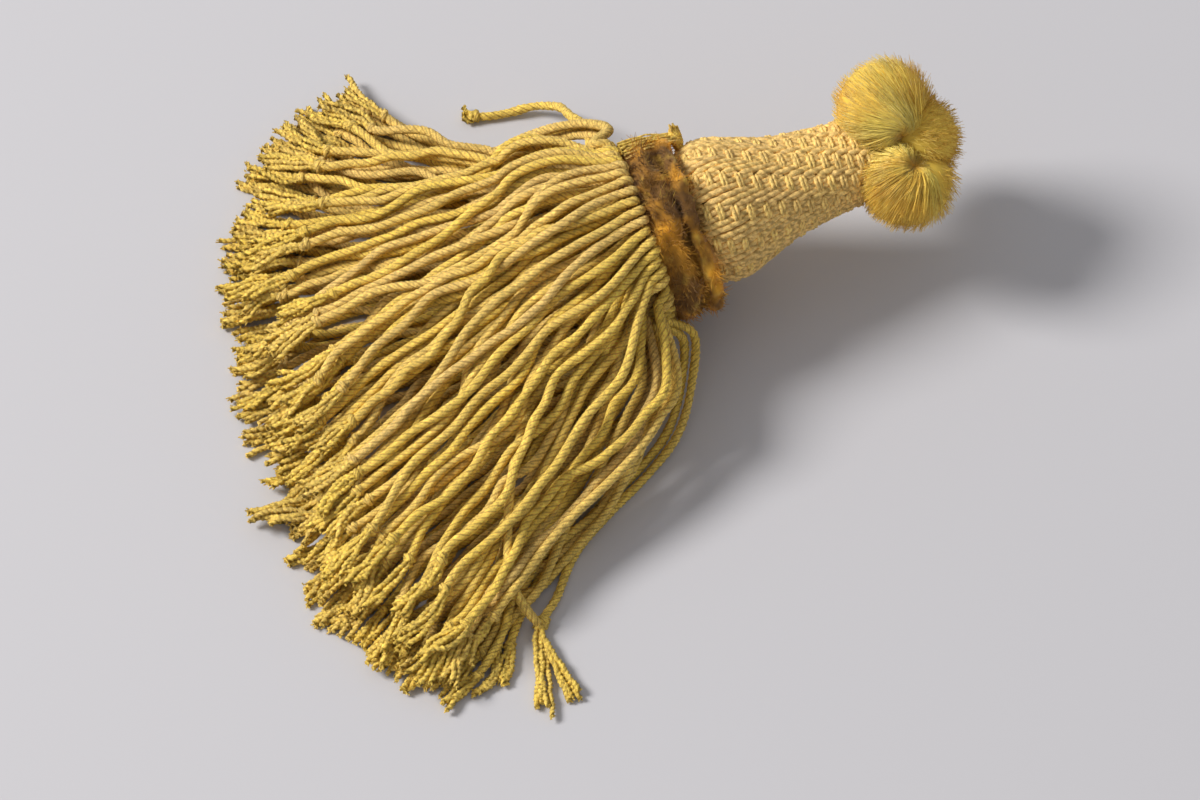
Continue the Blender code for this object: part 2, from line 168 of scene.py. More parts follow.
# Fuzz on the fringe, and the hairs at the end of a ply
FUZZ_COUNT = 340
FUZZ_LENGTH = (0.5, 1.8)
FUZZ_GIRTH = np.array((0.07, 0.07, 0.06, 0.05, 0.04)) * MM
HAIR_COUNT = 4
HAIR_GIRTH = np.array((0.19, 0.18, 0.14)) * MM

# Knots and brushes: a cord's twist in a knot, and the plies' spread, reach, width, twist and crimp
KNOT_STATIONS = 19
KNOT_LEAD = 3.4 * MM
BIG_KNOT = 1.05 * MM
BRUSH_STATIONS = 13
BRUSH_SPREAD = (1.2, 2.6)
BIG_SPREAD = 4.2 * MM
SECOND_TUFT = 2.6 * MM
PLY_REACH = (0.78, 1.0)
PLY_WIDTH = (0.47, 0.60)
PLY_LEAD = 2.7 * MM
CRIMP = 0.13 * MM
CRIMP_LENGTH = 5.2 * MM

# Collar: radius of its outer part, height of its lumps, and its two rows as axial position, radius and lobe
COLLAR_REACH = 17.0 * MM
COLLAR_LUMP = 1.25 * MM
COLLAR_LOBE = (-2.9, 13.1, 4.2)
COLLAR_RIDGE = (2.4, 15.6, 1.2)

# Head: axial position and radius, mm
HEAD_PROFILE = (
    (3.3, 10.4), (4.8, 12.4), (7.2, 13.5), (9.2, 13.8), (13.2, 13.15), (15.2, 12.35), (18.0, 11.4),
    (21.4, 10.2), (26.6, 9.1), (32.2, 8.35), (37.2, 7.9), (39.2, 7.7), (41.5, 7.3),
)
HEAD_SHIFT = ACROSS * -0.75 * MM
HEAD_START = 3.6 * MM
HEAD_END = 41.0 * MM
STITCH_HALF = 1.72 * MM
STITCH_STATIONS = 9
STITCH_LEAD = 2.6 * MM
FLOAT_STATIONS = 18
FLOAT_LEAD = 3.0 * MM

# Ties: number of threads, of yarns wound round the knob and of ends in it, and the knob's foot and height
TIE_COUNT = 40
TIE_TURN = 50.0
TIE_LEAD = 1.8 * MM
KNOB_YARNS = 3
KNOB_ENDS = 24
KNOB_FOOT = (6.2 * MM, 13.4 * MM)
KNOB_HEIGHT = 4.2 * MM

# Pompoms: axial position, distance, turn, radius and start on the axis, with the way their pole looks
POMPOMS = (
    (47.3, 8.6, 24.0, 10.3, 38.4, (0.38, -0.914, 0.154)),
    (46.7, 8.8, -95.0, 10.2, 38.2, (0.22, -0.19, 0.95)),
    (48.0, 8.8, 146.0, 9.6, 38.8, (0.3, 0.2, -0.9)),
    (51.4, 2.4, -45.0, 9.4, 44.0, (-0.70, -0.55, 0.45)),
)
# For each pompom: share of the fibres, whorl in degrees, dent at the tie, and where its side is cut
POMPOM_SHARE = (1.15, 1.2, 0.35, 1.2)
POMPOM_WHORL = (-88.0, 24.0, 10.0, 30.0)
POMPOM_DENT = (0.84, 0.66, 0.6, 0.8)
POMPOM_CUT = (0.50, 0.30, 2.0, -2.0)
POMPOM_LOCKS = 210
FLOSS_GIRTH = np.array((0.9, 1.0, 1.0, 1.0, 1.0, 1.0, 1.0, 0.9, 0.6))
FLOSS_WORN = (0.86, 0.55, 0.06)

HAIR_FLOOR = 0.2 * MM
TIP_FLOOR = 0.25 * MM
# tone_and_shade darkens a strand, by random tone and by painted shade where a piece sets it so
VALUE_NAMES = ("girth", "turns", "tone_and_shade", "spot")


def plain_property(name, description, default):
    """Property of a plain number."""
    kind = bpy.props.IntProperty if isinstance(default, int) else bpy.props.FloatProperty
    return kind(name=name, description=description, default=default)


def length_property(name, description, default):
    """Property of a length in metres."""
    return bpy.props.FloatProperty(name=name, description=description, default=default, unit="LENGTH")


def angle_property(name, description, degrees):
    """Property of an angle, with its default in degrees."""
    return bpy.props.FloatProperty(
        name=name, description=description, default=math.radians(degrees), subtype="ANGLE")


def colour_property(name, description, default):
    """Property of a colour."""
    return bpy.props.FloatVectorProperty(
        name=name, description=description, default=default, subtype="COLOR")


class TasselCordSettings(bpy.types.PropertyGroup):
    """Sizes of the fringe's cords."""

    diameter: length_property("Cord diameter", "Thickness of a twisted cord", 0.00183)
    lead: length_property("Cord lead", "Length of one full twist", 0.0057)
    plies: plain_property("Ridges", "Yarn ridges round a cord", 6)
    ply_depth: plain_property("Ridge height", "Height of the ridges as a share of the radius", 0.10)
    spacing: length_property("Section spacing", "Distance between a cord's sections", 0.00056)
    brush_length: length_property("Brush length", "Length of the loose plies after a knot", 0.0145)
    settle_steps: plain_property("Settling steps", "Steps in which the cords come to rest", 90)
    seed: plain_property("Seed", "Start of the random numbers", 11)
    lit: colour_property("Lit colour", "Colour of clean silk", (1.0, 0.70, 0.12))
    faded: colour_property("Faded colour", "Colour of faded silk", (0.88, 0.60, 0.215))
    # Painted shade: the colour laid into the grooves between a cord's plies
    painted_shade: colour_property("Painted shade colour", "Painted shade between the plies", (0.34, 0.17, 0.03))


class TasselPlaitSettings(bpy.types.PropertyGroup):
    """Sizes of the head's plaited cover."""

    columns: plain_property("Columns", "Rows of short stitches round the head", 12)
    ticks: plain_property("Stitches", "Short stitches in a row", 15)
    tick_width: length_property("Stitch yarn", "Thickness of a short stitch's yarn", 0.00084)
    float_width: length_property("Float yarn", "Thickness of a long yarn", 0.00146)
    lean: angle_property("Row lean", "Angle of the rows to the axis", 19.0)
    float_lean: angle_property("Float lean", "Angle of the long yarns to the axis", -4.5)
    light: colour_property("Light colour", "Colour of the short stitches", (0.93, 0.64, 0.19))
    faded: colour_property("Faded colour", "Colour of the long yarns", (0.82, 0.54, 0.185))
    # Painted shade: the colour laid into the grooves between the head's yarns
    painted_shade: colour_property("Painted shade colour", "Painted shade between the yarns", (0.26, 0.15, 0.03))
    # Painted shade: the head's core shows in this dark colour between the yarns
    core: colour_property("Core colour", "Painted shade under the yarns", (0.25, 0.15, 0.04))


class TasselPileSettings(bpy.types.PropertyGroup):
    """Sizes of the collar's pile and the pompoms' floss."""

    collar_fibres: plain_property("Collar fibres", "Fibres in the collar", 8600)
    collar_length: length_property("Collar pile", "Length of the collar's pile", 0.0023)
    pompom_fibres: plain_property("Pompom fibres", "Fibres in one pompom", 2900)
    fibre_width: length_property("Fibre", "Thickness of a fibre of floss", 0.000122)
    orange: colour_property("Collar colour", "Colour of clean pile", (0.80, 0.37, 0.018))
    # Painted highlights: yellow patches on the pile
    highlight_yellow: colour_property("Highlight colour", "Colour of the pile's painted highlights", (0.80, 0.52, 0.07))
    # Worn pile, and also the painted shade at the pile's roots and in its hollows
    brown: colour_property("Worn and shade colour", "Colour of worn pile and of its painted shade", (0.175, 0.078, 0.012))
    floss: colour_property("Floss colour", "Colour of the pompoms", (0.99, 0.79, 0.15))
    floss_core: colour_property("Floss core colour", "Colour under the floss", (0.80, 0.54, 0.07))
    # Painted shade: the colour at the fibres' roots and inside the pompom
    floss_painted_shade: colour_property("Floss painted shade colour", "Painted shade at the fibres' roots", (0.60, 0.30, 0.02))


class TasselStageSettings(bpy.types.PropertyGroup):
    """Floor, lights and camera."""

    floor: colour_property("Floor colour", "Colour of the floor", (0.56, 0.55, 0.575))
    key_power: plain_property("Key power", "Power of the main light, W", 84.5)
    key_size: length_property("Key size", "Width of the main light", 1.05)
    fill: plain_property("Fill", "Strength of the even light", 0.415)
    lens: plain_property("Lens", "Focal length in mm", 262.5)
    distance: length_property("Camera distance", "From the camera to the middle of the picture", 1.75)
    elevation: angle_property("Camera elevation", "Angle above the floor", 55.0)


# Shapes in numbers


def circle(first, second, turns, size=1.0):
    """Points at turns from a first way towards a second one, at a distance."""
    turns = np.asarray(turns, float)[..., None]
    size = np.asarray(size, float)[..., None]
    return first * (size * np.cos(turns)) + second * (size * np.sin(turns))


def radials(turns):
    """Unit vectors across the axis at turns from straight above, towards the back."""
    return circle(ABOVE, ACROSS, turns)


def on_axis(axial, distance, turns):
    """Points at axial positions, distances from the axis and turns round it."""
    axial = np.asarray(axial, float)[..., None]
    distance = np.asarray(distance, float)[..., None]
    return WAIST + AXIS * axial + radials(turns) * distance


def unit(vectors):
    """Vectors of length one."""
    size = np.linalg.norm(vectors, axis=-1, keepdims=True)
    return vectors / np.maximum(size, 1e-12)


def smooth_step(value):
    """Ease from 0 to 1."""
    value = np.clip(value, 0.0, 1.0)
    return value * value * (3.0 - 2.0 * value)


def hill(value, middle, span):
    """Bell curve of height one."""
    return np.exp(-((value - middle) / span) ** 2)


def bezier(first, second, third, last, t):
    """Points of a curve with two inner handles."""
    spare = 1.0 - t
    return first * spare ** 3 + second * (3 * t * spare ** 2) + third * (3 * t * t * spare) + last * t ** 3


def hermite(table, where):
    """Rows read at a place from a smooth curve through a table whose first column is the place."""
    table = np.asarray(table, float)
    keys = table[:, 0]
    slopes = np.gradient(table, keys, axis=0)
    k = np.clip(np.searchsorted(keys, where) - 1, 0, len(keys) - 2)
    span = (keys[k + 1] - keys[k])[..., None]
    f = (np.asarray(where)[..., None] - keys[k][..., None]) / span
    rows = (1 + 2 * f) * (1 - f) ** 2 * table[k] + f * (1 - f) ** 2 * span * slopes[k]
    return rows + f * f * (3 - 2 * f) * table[k + 1] + f * f * (f - 1) * span * slopes[k + 1]


def lengths_along(points):
    """Length of a line from its start to each of its points."""
    steps = np.linalg.norm(np.diff(points, axis=0), axis=1)
    return np.concatenate(([0.0], np.cumsum(steps)))


def turns_along(points, lead):
    """Twist of a line at its points, with one full turn in each lead."""
    return lengths_along(points) * FULL_TURN / lead


def even_points(points, count):
    """Evenly spaced points on a line."""
    along = lengths_along(points)
    wanted = np.linspace(0.0, along[-1], count)
    return np.stack([np.interp(wanted, along, points[:, k]) for k in range(3)], axis=1)


def smooth_line(points, count):
    """Evenly spaced points on a smooth curve through the given ones."""
    points = np.asarray(points, float)
    along = lengths_along(points)
    table = np.column_stack((along, points))
    fine = hermite(table, np.linspace(0.0, along[-1], 16 * len(points)))[:, 1:]
    return even_points(fine, count)


def tangents(points):
    """Unit directions along a line."""
    return unit(np.gradient(points, axis=0))


def keep_above(points, least):
    """Lift the points that are lower than a height."""
    points[..., 2] = np.maximum(points[..., 2], least)


def slow_noise(rng, count, places, waves):
    """Smooth random curves between about -1 and 1, one for each line."""
    total = np.zeros((count, len(places)))
    for wave in waves:
        phase = rng.uniform(0, FULL_TURN, (count, 1))
        size = rng.normal(0.0, 1.0, (count, 1))
        total += size * np.sin(FULL_TURN * wave * places[None, :] + phase)
    return total / math.sqrt(len(waves))


def cord_height(t, share, upper, top, low):
    """Height of a cord along its run, from its root at the top to its end."""
    if upper:
        fallen = smooth_step(t * UPPER_FALL) / smooth_step(UPPER_FALL)
        sag = UPPER_SAG * np.sin(math.pi * t)
        fallen = fallen * (1.0 - sag) + sag
    else:
        middle = math.sin(math.pi * share)
        landing = EDGE_LANDING + (LOWER_LANDING - EDGE_LANDING) * middle
        fallen = np.clip((t - EDGE_DELAY * (1.0 - middle)) / landing, 0.0, 1.0)
        fallen = 1.0 - (1.0 - fallen) ** 2
    return top + (low - top) * fallen


def cord_line(round_index, sector, count):
    """Centre line of one cord from inside the collar to its end, by the part's fan."""
    radius = CONE_RADIUS - ROUND_PITCH * (round_index + 0.5)
    axial = CONE_START - ROUND_PITCH * (round_index + 0.5)
    turn = FULL_TURN * (sector + 0.5) / CORDS_AROUND
    upper = math.cos(turn) > 0.0
    share = math.acos(math.sin(turn)) / math.pi
    side_step = (round_index - 1) * SIDE_STEP / (CORDS_AROUND // 2) * math.cos(math.pi * share)
    inset = ROUND_INSET * round_index
    fan_share = inset + (1.0 - 2.0 * inset) * share + side_step
    root = on_axis(axial, radius, turn)
    bend = np.radians((-35.0, 0.0, 35.0, 65.0))
    step = START_STEP * math.sin(23.0 * sector + 5.0 * round_index)
    start = on_axis(
        axial + 0.8 * MM + 0.35 * step + START_BEND * np.cos(bend),
        radius - START_BEND + START_BEND * np.sin(bend),
        turn + 0.02 * math.sin(31.0 * sector))
    if (round_index, sector) in OWN_WAYS:
        way = np.array(OWN_WAYS[(round_index, sector)][1]) * MM
        return smooth_line(np.vstack((start, root, way)), count), fan_share, upper
    uneven = ((round_index * CORDS_AROUND + sector) * GOLDEN) % 1.0
    reach = 1.0 - END_UNEVEN * uneven
    if upper:
        reach -= END_SHORTER_ON_TOP * math.cos(turn) * (1.0 - 0.3 * round_index)
    _, leave, leave_pull, end_x, end_y, arrive, arrive_pull = hermite(FAN_GUIDES, np.array(fan_share))
    leave, arrive = math.radians(leave), math.radians(arrive)
    end = np.array((end_x, end_y)) * MM
    first = root[:2] + np.array((math.cos(leave), math.sin(leave))) * leave_pull * MM
    last = end - np.array((math.cos(arrive), math.sin(arrive))) * arrive_pull * MM
    t = np.linspace(0.0, 1.0, 4 * count)[:, None] * reach
    plan = bezier(root[:2], first, last, end, t)
    sideways = np.array((-math.sin(arrive), math.cos(arrive)))
    phase = FULL_TURN * (1.3 * t + 2.2 * fan_share)
    plan = plan + sideways * np.sin(phase) * t * (1.2 - t) * WAVE_SIZE * 2.0
    crown = math.sin(math.pi * share) ** EDGE_ROUNDNESS if 0.0 < share < 1.0 else 0.0
    level = 2 * ROUND_COUNT - 1 - round_index if upper else round_index
    low = LOWEST_LINE + level * LAYER_PITCH * crown + (LAYER_PITCH * (1.0 - crown) if upper else 0.0)
    t = t[:, 0]
    line = np.column_stack((plan, cord_height(t, share, upper, root[2], low)))
    bulge = np.sin(math.pi * np.clip(t / SHOULDER_END, 0.0, 1.0)) * SHOULDER
    bulge = bulge * (1.0 + SHOULDER_MORE * hill(math.degrees(turn), SHOULDER_TURN, SHOULDER_SPAN))
    line = line + radials(turn) * bulge[:, None]
    return even_points(np.vstack((start, line)), count), fan_share, upper


def loosen(rng, lines, shares, levels):
    """Cords moved sideways by small slow waves, so that neighbours cross here and there."""
    count, stations, _ = lines.shape
    t = np.linspace(0.0, 1.0, stations)
    waves = sum(slow_noise(rng, count, t, numbers) * size for numbers, size in SIDE_WAVES)
    drift = rng.normal(0.0, DRIFT, (count, 1)) * (0.7 + 0.9 * shares[:, None]) * t[None, :] ** 1.5
    for across, onward, phase, size in BUNDLES:
        angle = FULL_TURN * (across * shares[:, None] + onward * t[None, :]) + phase * levels[:, None]
        waves = waves + np.sin(angle) * size
    edge = 0.35 + 0.65 * smooth_step(np.minimum(shares, 1.0 - shares) / 0.09)[:, None]
    lift = slow_noise(rng, count, t, (1.0, 1.8)) * LIFT_WAVE
    ease = smooth_step(t / 0.35)
    for line, sideways, rise in zip(lines, (waves + drift) * edge, lift):
        side = unit(np.cross(tangents(line), UP))
        line += side * (sideways * ease)[:, None]
        line[:, 2] += rise * ease
    return lines


def close_pairs(points, owner, reach):
    """Pairs of points of different cords that are near each other."""
    tree = KDTree(len(points))
    for k, point in enumerate(points):
        tree.insert(point, k)
    tree.balance()
    pairs = [
        (k, other) for k, point in enumerate(points) for _, other, _ in tree.find_range(point, reach)
        if other > k and owner[other] != owner[k]]
    return np.array(pairs).T


def settle(lines, radii, still, steps):
    """Cords pushed apart where they touch, and let down onto each other and the floor; still ones stay."""
    count, stations, _ = lines.shape
    first_shape = lines.copy()
    owner = np.repeat(np.arange(count), stations)
    flat_radii = radii.reshape(-1)
    held = (smooth_step((np.arange(stations) - 1.0) / 5.0) * np.where(still, 0.0, 1.0)[:, None])[:, :, None]
    for step in range(steps):
        flat = lines.reshape(-1, 3)
        if step % SETTLE_SEARCH == 0:
            a, b = close_pairs(flat, owner, SETTLE_REACH)
        away = flat[a] - flat[b]
        apart = np.linalg.norm(away, axis=1)
        over = flat_radii[a] + flat_radii[b] - apart
        touching = over > 0.0
        push = away[touching] / np.maximum(apart[touching], 1e-9)[:, None] * over[touching][:, None] * 0.5
        i, j = a[touching], b[touching]
        met = np.bincount(i, minlength=len(flat)) + np.bincount(j, minlength=len(flat))
        move = np.stack([
            np.bincount(i, push[:, k], len(flat)) - np.bincount(j, push[:, k], len(flat))
            for k in range(3)], axis=1)
        move /= np.maximum(1.0, met * 0.6)[:, None]
        lines = lines + move.reshape(lines.shape) * held
        if step < steps - SETTLE_CALM:
            lines[:, :, 2] -= SETTLE_SINK * held[:, :, 0]
        change = lines - first_shape
        change[:, 1:-1] += SETTLE_STIFF * (0.5 * (change[:, :-2] + change[:, 2:]) - change[:, 1:-1])
        change[:, -1] += SETTLE_STIFF * (change[:, -2] - change[:, -1])
        lines = first_shape + change
        keep_above(lines, np.minimum(radii * 1.16, SETTLE_FLOOR))
    return lines


class Strands:
    """Lines with a radius, a twist, a tone-and-shade value and a number at their points, gathered for one
    sweep.
    """

    def __init__(self):
        self.points = []
        self.values = {name: [] for name in VALUE_NAMES}

    def add(self, points, girth, turns=0.0, tone_and_shade=0.0, spot=0.0):
        """Add lines of one shape: points are (lines, stations, 3), values fit (lines, stations)."""
        points = np.asarray(points, float)
        if points.ndim == 2:
            points = points[None]
        shape = points.shape[:2]
        self.points.append(points)
        for name, value in zip(VALUE_NAMES, (girth, turns, tone_and_shade, spot)):
            self.values[name].append(np.broadcast_to(np.asarray(value, float), shape).reshape(-1))

    def mesh(self, name):
        """Mesh of edges that holds the lines and their values."""
        flat = np.concatenate([block.reshape(-1, 3) for block in self.points]) + DRAWING_SHIFT
        edges = []
        start = 0
        for block in self.points:
            lines, stations, _ = block.shape
            first = np.arange(lines * stations).reshape(lines, stations)[:, :-1].reshape(-1) + start
            edges.append(np.column_stack((first, first + 1)))
            start += lines * stations
        edges = np.concatenate(edges)
        made = bpy.data.meshes.new(name)
        made.vertices.add(len(flat))
        made.vertices.foreach_set("co", flat.astype(np.float32).reshape(-1))
        made.edges.add(len(edges))
        made.edges.foreach_set("vertices", edges.astype(np.int32).reshape(-1))
        for value_name in VALUE_NAMES:
            store_values(made, value_name, np.concatenate(self.values[value_name]))
        made.update()
        return made


def store_values(mesh, name, values):
    """Keep a number for each point of a mesh."""
    mesh.attributes.new(name, "FLOAT", "POINT").data.foreach_set("value", values.astype(np.float32))


# Nodes


class NodeBuilder:
    """Short calls to add and join nodes in one tree."""

    def __init__(self, tree):
        self.tree = tree

    def node(self, kind, settings=(), values=(), **sources):
        """New node with settings, values by input name, and joined sources."""
        made = self.tree.nodes.new(kind)
        for key, value in dict(settings).items():
            setattr(made, key, value)
        for key, value in dict(values).items():
            made.inputs[key].default_value = value
        for key, source in sources.items():
            self._give(made.inputs[key.replace("_", " ")], source)
        return made

    def made(self, *given, **sources):
        """First output of a new node."""
        return self.node(*given, **sources).outputs[0]

    def join(self, source, socket):
        """Link from an output to an input."""
        self.tree.links.new(source, socket)

    def value(self, name):
        """A value stored on the mesh's points."""
        made = self.node("ShaderNodeAttribute", {"attribute_type": "GEOMETRY", "attribute_name": name})
        return made.outputs["Fac"]

    def maths(self, operation, *terms):
        """Result of a maths node."""
        made = self.node("ShaderNodeMath", {"operation": operation})
        for socket, source in zip(made.inputs, terms):
            self._give(socket, source)
        return made.outputs[0]

    def plus(self, first, second):
        """Sum of two values."""
        return self.maths("ADD", first, second)

    def times(self, first, second):
        """Product of two values."""
        return self.maths("MULTIPLY", first, second)

    def line(self, value, slope, start):
        """A value times a slope, from a start."""
        return self.plus(self.times(value, slope), start)

    def mix(self, factor, first, second, blend="MIX"):
        """Mixed colour."""
        made = self.node("ShaderNodeMix", {"data_type": "RGBA", "blend_type": blend})
        for place, source in ((0, factor), (6, first), (7, second)):
            self._give(made.inputs[place], source)
        return made.outputs[2]

    def shaded(self, colour, shade):
        """Colour made lighter or darker by a value."""
        grey = self.made("ShaderNodeCombineColor", Red=shade, Green=shade, Blue=shade)
        return self.mix(1.0, colour, grey, "MULTIPLY")

    def noise(self, scale, detail=2.0, stretch=None, roughness=0.5):
        """Noise in the object's coordinates."""
        place = self.node("ShaderNodeTexCoord").outputs["Object"]
        if stretch is not None:
            place = self.made("ShaderNodeMapping", (), {"Scale": stretch}, Vector=place)
        values = {"Scale": scale, "Detail": detail, "Roughness": roughness}
        return self.node("ShaderNodeTexNoise", (), values, Vector=place).outputs["Fac"]

    def ramp(self, factor, low, high):
        """Factor stretched from low..high to 0..1."""
        return self.made("ShaderNodeMapRange", (), {"From Min": low, "From Max": high}, Value=factor)

    def _give(self, socket, source):
        if isinstance(source, bpy.types.NodeSocket):
            self.join(source, socket)
        elif hasattr(source, "__len__") and len(source) == 3:
            socket.default_value = (*source, 1.0)
        else:
            socket.default_value = source


def new_group(name, kind, inputs, outputs):
    """Node group with its sockets, and its builder, inputs and outputs."""
    tree = bpy.data.node_groups.new(name, kind)
    for label, socket_kind, value in inputs:
        socket = tree.interface.new_socket(name=label, in_out="INPUT", socket_type=socket_kind)
        if value is not None:
            socket.default_value = value
    for label, socket_kind in outputs:
        tree.interface.new_socket(name=label, in_out="OUTPUT", socket_type=socket_kind)
    given, result = tree.nodes.new("NodeGroupInput"), tree.nodes.new("NodeGroupOutput")
    return NodeBuilder(tree), given.outputs, result.inputs


def sweep_group():
    """Node group that sweeps a lobed section along the lines of a mesh."""
    name = "Strand sweep"
    if name in bpy.data.node_groups:
        return bpy.data.node_groups[name]
    build, given, result = new_group(name, "GeometryNodeTree", (
        ("Geometry", "NodeSocketGeometry", None),
        ("Spacing", "NodeSocketFloat", 0.0005),
        ("Sides", "NodeSocketInt", 6),
        ("Lobes", "NodeSocketInt", 3),
        ("Lobe Depth", "NodeSocketFloat", 0.1),
        ("Material", "NodeSocketMaterial", None),
    ), (("Geometry", "NodeSocketGeometry"),))
    made, maths, times = build.made, build.maths, build.times

    def value_of(name):
        return made("GeometryNodeInputNamedAttribute", {"data_type": "FLOAT"}, {"Name": name})

    curve = made("GeometryNodeMeshToCurve", Mesh=given["Geometry"])
    curve = made("GeometryNodeCurveSplineType", {"spline_type": "CATMULL_ROM"}, Curve=curve)
    curve = made("GeometryNodeResampleCurve", {"mode": "LENGTH"}, Curve=curve, Length=given["Spacing"])
    curve = made("GeometryNodeSetCurveTilt", Curve=curve, Tilt=value_of("turns"))

    turn = maths("DIVIDE", times(made("GeometryNodeInputIndex"), FULL_TURN), given["Sides"])
    lobe_turn = times(turn, given["Lobes"])
    yarns = times(maths("COSINE", lobe_turn), 0.65)
    plies = times(maths("SINE", times(lobe_turn, 0.5)), 0.40)
    wave = build.plus(build.plus(yarns, plies), 0.05)
    size = build.plus(1.0, times(wave, given["Lobe Depth"]))
    grown = made(
        "ShaderNodeVectorMath", {"operation": "SCALE"}, Vector=made("GeometryNodeInputPosition"), Scale=size)
    section = made("GeometryNodeCurvePrimitiveCircle", (), {"Radius": 1.0}, Resolution=given["Sides"])
    stored = {"groove": wave, "rim_x": maths("COSINE", turn), "rim_y": maths("SINE", turn)}
    for label, value in stored.items():
        section = made(
            "GeometryNodeStoreNamedAttribute", {"data_type": "FLOAT", "domain": "POINT"}, {"Name": label},
            Geometry=section, Value=value)
    section = made("GeometryNodeSetPosition", Geometry=section, Position=grown)

    mesh = made(
        "GeometryNodeCurveToMesh", (), {"Fill Caps": True},
        Curve=curve, Profile_Curve=section, Scale=value_of("girth"))
    mesh = made("GeometryNodeSetShadeSmooth", Geometry=mesh)
    mesh = made("GeometryNodeRealizeInstances", Geometry=mesh)
    mesh = made("GeometryNodeSetMaterial", Geometry=mesh, Material=given["Material"])
    build.join(mesh, result["Geometry"])
    return build.tree


def sweep(name, strands, spacing, sides, lobes, depth, made_material):
    """Plain mesh object of strands swept with a section."""
    paths = strands.mesh(name + "_paths")
    item = bpy.data.objects.new(name, paths)
    bpy.context.scene.collection.objects.link(item)
    modifier = item.modifiers.new("Sweep", "NODES")
    group = sweep_group()
    modifier.node_group = group
    wanted = {
        "Spacing": spacing, "Sides": sides, "Lobes": lobes, "Lobe Depth": depth, "Material": made_material,
    }
    for socket in group.interface.items_tree:
        if socket.item_type == "SOCKET" and socket.in_out == "INPUT" and socket.name in wanted:
            modifier[socket.identifier] = wanted[socket.name]
    graph = bpy.context.evaluated_depsgraph_get()
    finished = bpy.data.meshes.new_from_object(
        item.evaluated_get(graph), preserve_all_data_layers=True, depsgraph=graph)
    item.modifiers.remove(modifier)
    item.data = finished
    bpy.data.meshes.remove(paths)
    finished.name = name
    if len(finished.polygons) == 0:
        raise RuntimeError(f"{name} came out empty")
    return item


# Materials


def yarn_group():
    """Shader group for silk yarn: colour, roughness and height from the plies, random tone and fading, with
    painted shade in the grooves and under the lower cords, and painted highlights and shade along the
    threads.
    """
    name = "Silk yarn"
    if name in bpy.data.node_groups:
        return bpy.data.node_groups[name]
    build, given, result = new_group(name, "ShaderNodeTree", (
        ("Lit", "NodeSocketColor", (0.6, 0.4, 0.1, 1.0)),
        ("Faded", "NodeSocketColor", (0.6, 0.4, 0.2, 1.0)),
        ("Deep", "NodeSocketColor", (0.2, 0.1, 0.02, 1.0)),
        ("Fading", "NodeSocketFloat", 0.5),
        ("Depth", "NodeSocketFloat", 0.6),
    ), (("Color", "NodeSocketColor"), ("Roughness", "NodeSocketFloat"), ("Height", "NodeSocketFloat")))
    plus, times, line = build.plus, build.times, build.line
    fade = plus(times(build.value("spot"), 0.75), times(build.noise(70.0), 0.6))
    fade = times(build.ramp(fade, 0.35, 1.05), given["Fading"])
    colour = build.mix(fade, given["Lit"], given["Faded"])
    around = build.maths("ARCTAN2", build.value("rim_y"), build.value("rim_x"))
    lay = plus(around, times(build.value("turns"), 1.22))
    unsteady = times(build.noise(900.0, 1.0), 7.0)
    # Painted highlights and shade: light and dark stripes along the threads of the plies, and small bright
    # and dark specks of glint; the same values also give the bump and the roughness
    thread_shade_stripes = line(build.maths("SINE", plus(times(lay, 15.0), unsteady)), 0.5, 0.5)
    painted_glints = build.ramp(build.noise(1350.0, 4.0, None, 0.72), 0.39, 0.61)
    fine = plus(times(thread_shade_stripes, 0.25), times(painted_glints, 0.75))
    shade = times(line(fine, 0.92, 0.72), line(build.noise(260.0, 1.0), 0.30, 0.85))
    # Darker by the tone_and_shade value: random tone, and painted shade for the lower cords that lie under
    # the others
    shade = times(shade, line(build.value("tone_and_shade"), -0.45, 1.0))
    # Painted shade: the grooves between the plies are mixed towards the shade colour
    valley_shade = times(build.ramp(build.value("groove"), 0.35, -0.95), given["Depth"])
    colour = build.mix(valley_shade, build.shaded(colour, shade), given["Deep"])
    for label, source in (("Color", colour), ("Roughness", line(fine, 0.22, 0.42)), ("Height", fine)):
        build.join(source, result[label])
    return build.tree


def new_material(name, rough, sheen=0.0):
    """Material with its shader's inputs and a builder for its nodes."""
    made = bpy.data.materials.new(name)
    made.use_nodes = True
    shader = made.node_tree.nodes["Principled BSDF"].inputs
    shader["Roughness"].default_value = rough
    shader["Sheen Weight"].default_value = sheen
    return made, shader, NodeBuilder(made.node_tree)


def yarn_material(name, lit, faded, painted_shade, fading, depth, relief=0.8):
    """Material of twisted silk."""
    made, shader, build = new_material(name, 0.5, 0.04)
    yarn = build.node(
        "ShaderNodeGroup", {"node_tree": yarn_group()}, {"Fading": fading, "Depth": depth},
        Lit=lit, Faded=faded, Deep=painted_shade).outputs
    reach = {"Strength": relief, "Distance": 0.28 * MM}
    bump = build.made("ShaderNodeBump", (), reach, Height=yarn["Height"])
    build.join(yarn["Color"], shader["Base Color"])
    build.join(yarn["Roughness"], shader["Roughness"])
    build.join(bump, shader["Normal"])
    shader["Specular IOR Level"].default_value = 0.30
    return made


def floss_material(name, clean, darker_tone, painted_shade):
    """Material of loose fibres: painted shade towards the root, patches are worn."""
    made, shader, build = new_material(name, 0.38, 0.2)
    spot = build.value("spot")
    patch = build.ramp(build.plus(build.noise(95.0), build.times(spot, 0.25)), 0.52, 0.82)
    # Painted shade: mixed towards the shade colour by the tone_and_shade value
    colour = build.mix(build.value("tone_and_shade"), build.mix(patch, clean, darker_tone), painted_shade)
    colour = build.shaded(colour, build.line(spot, 0.5, 0.75))
    build.join(colour, shader["Base Color"])
    return made


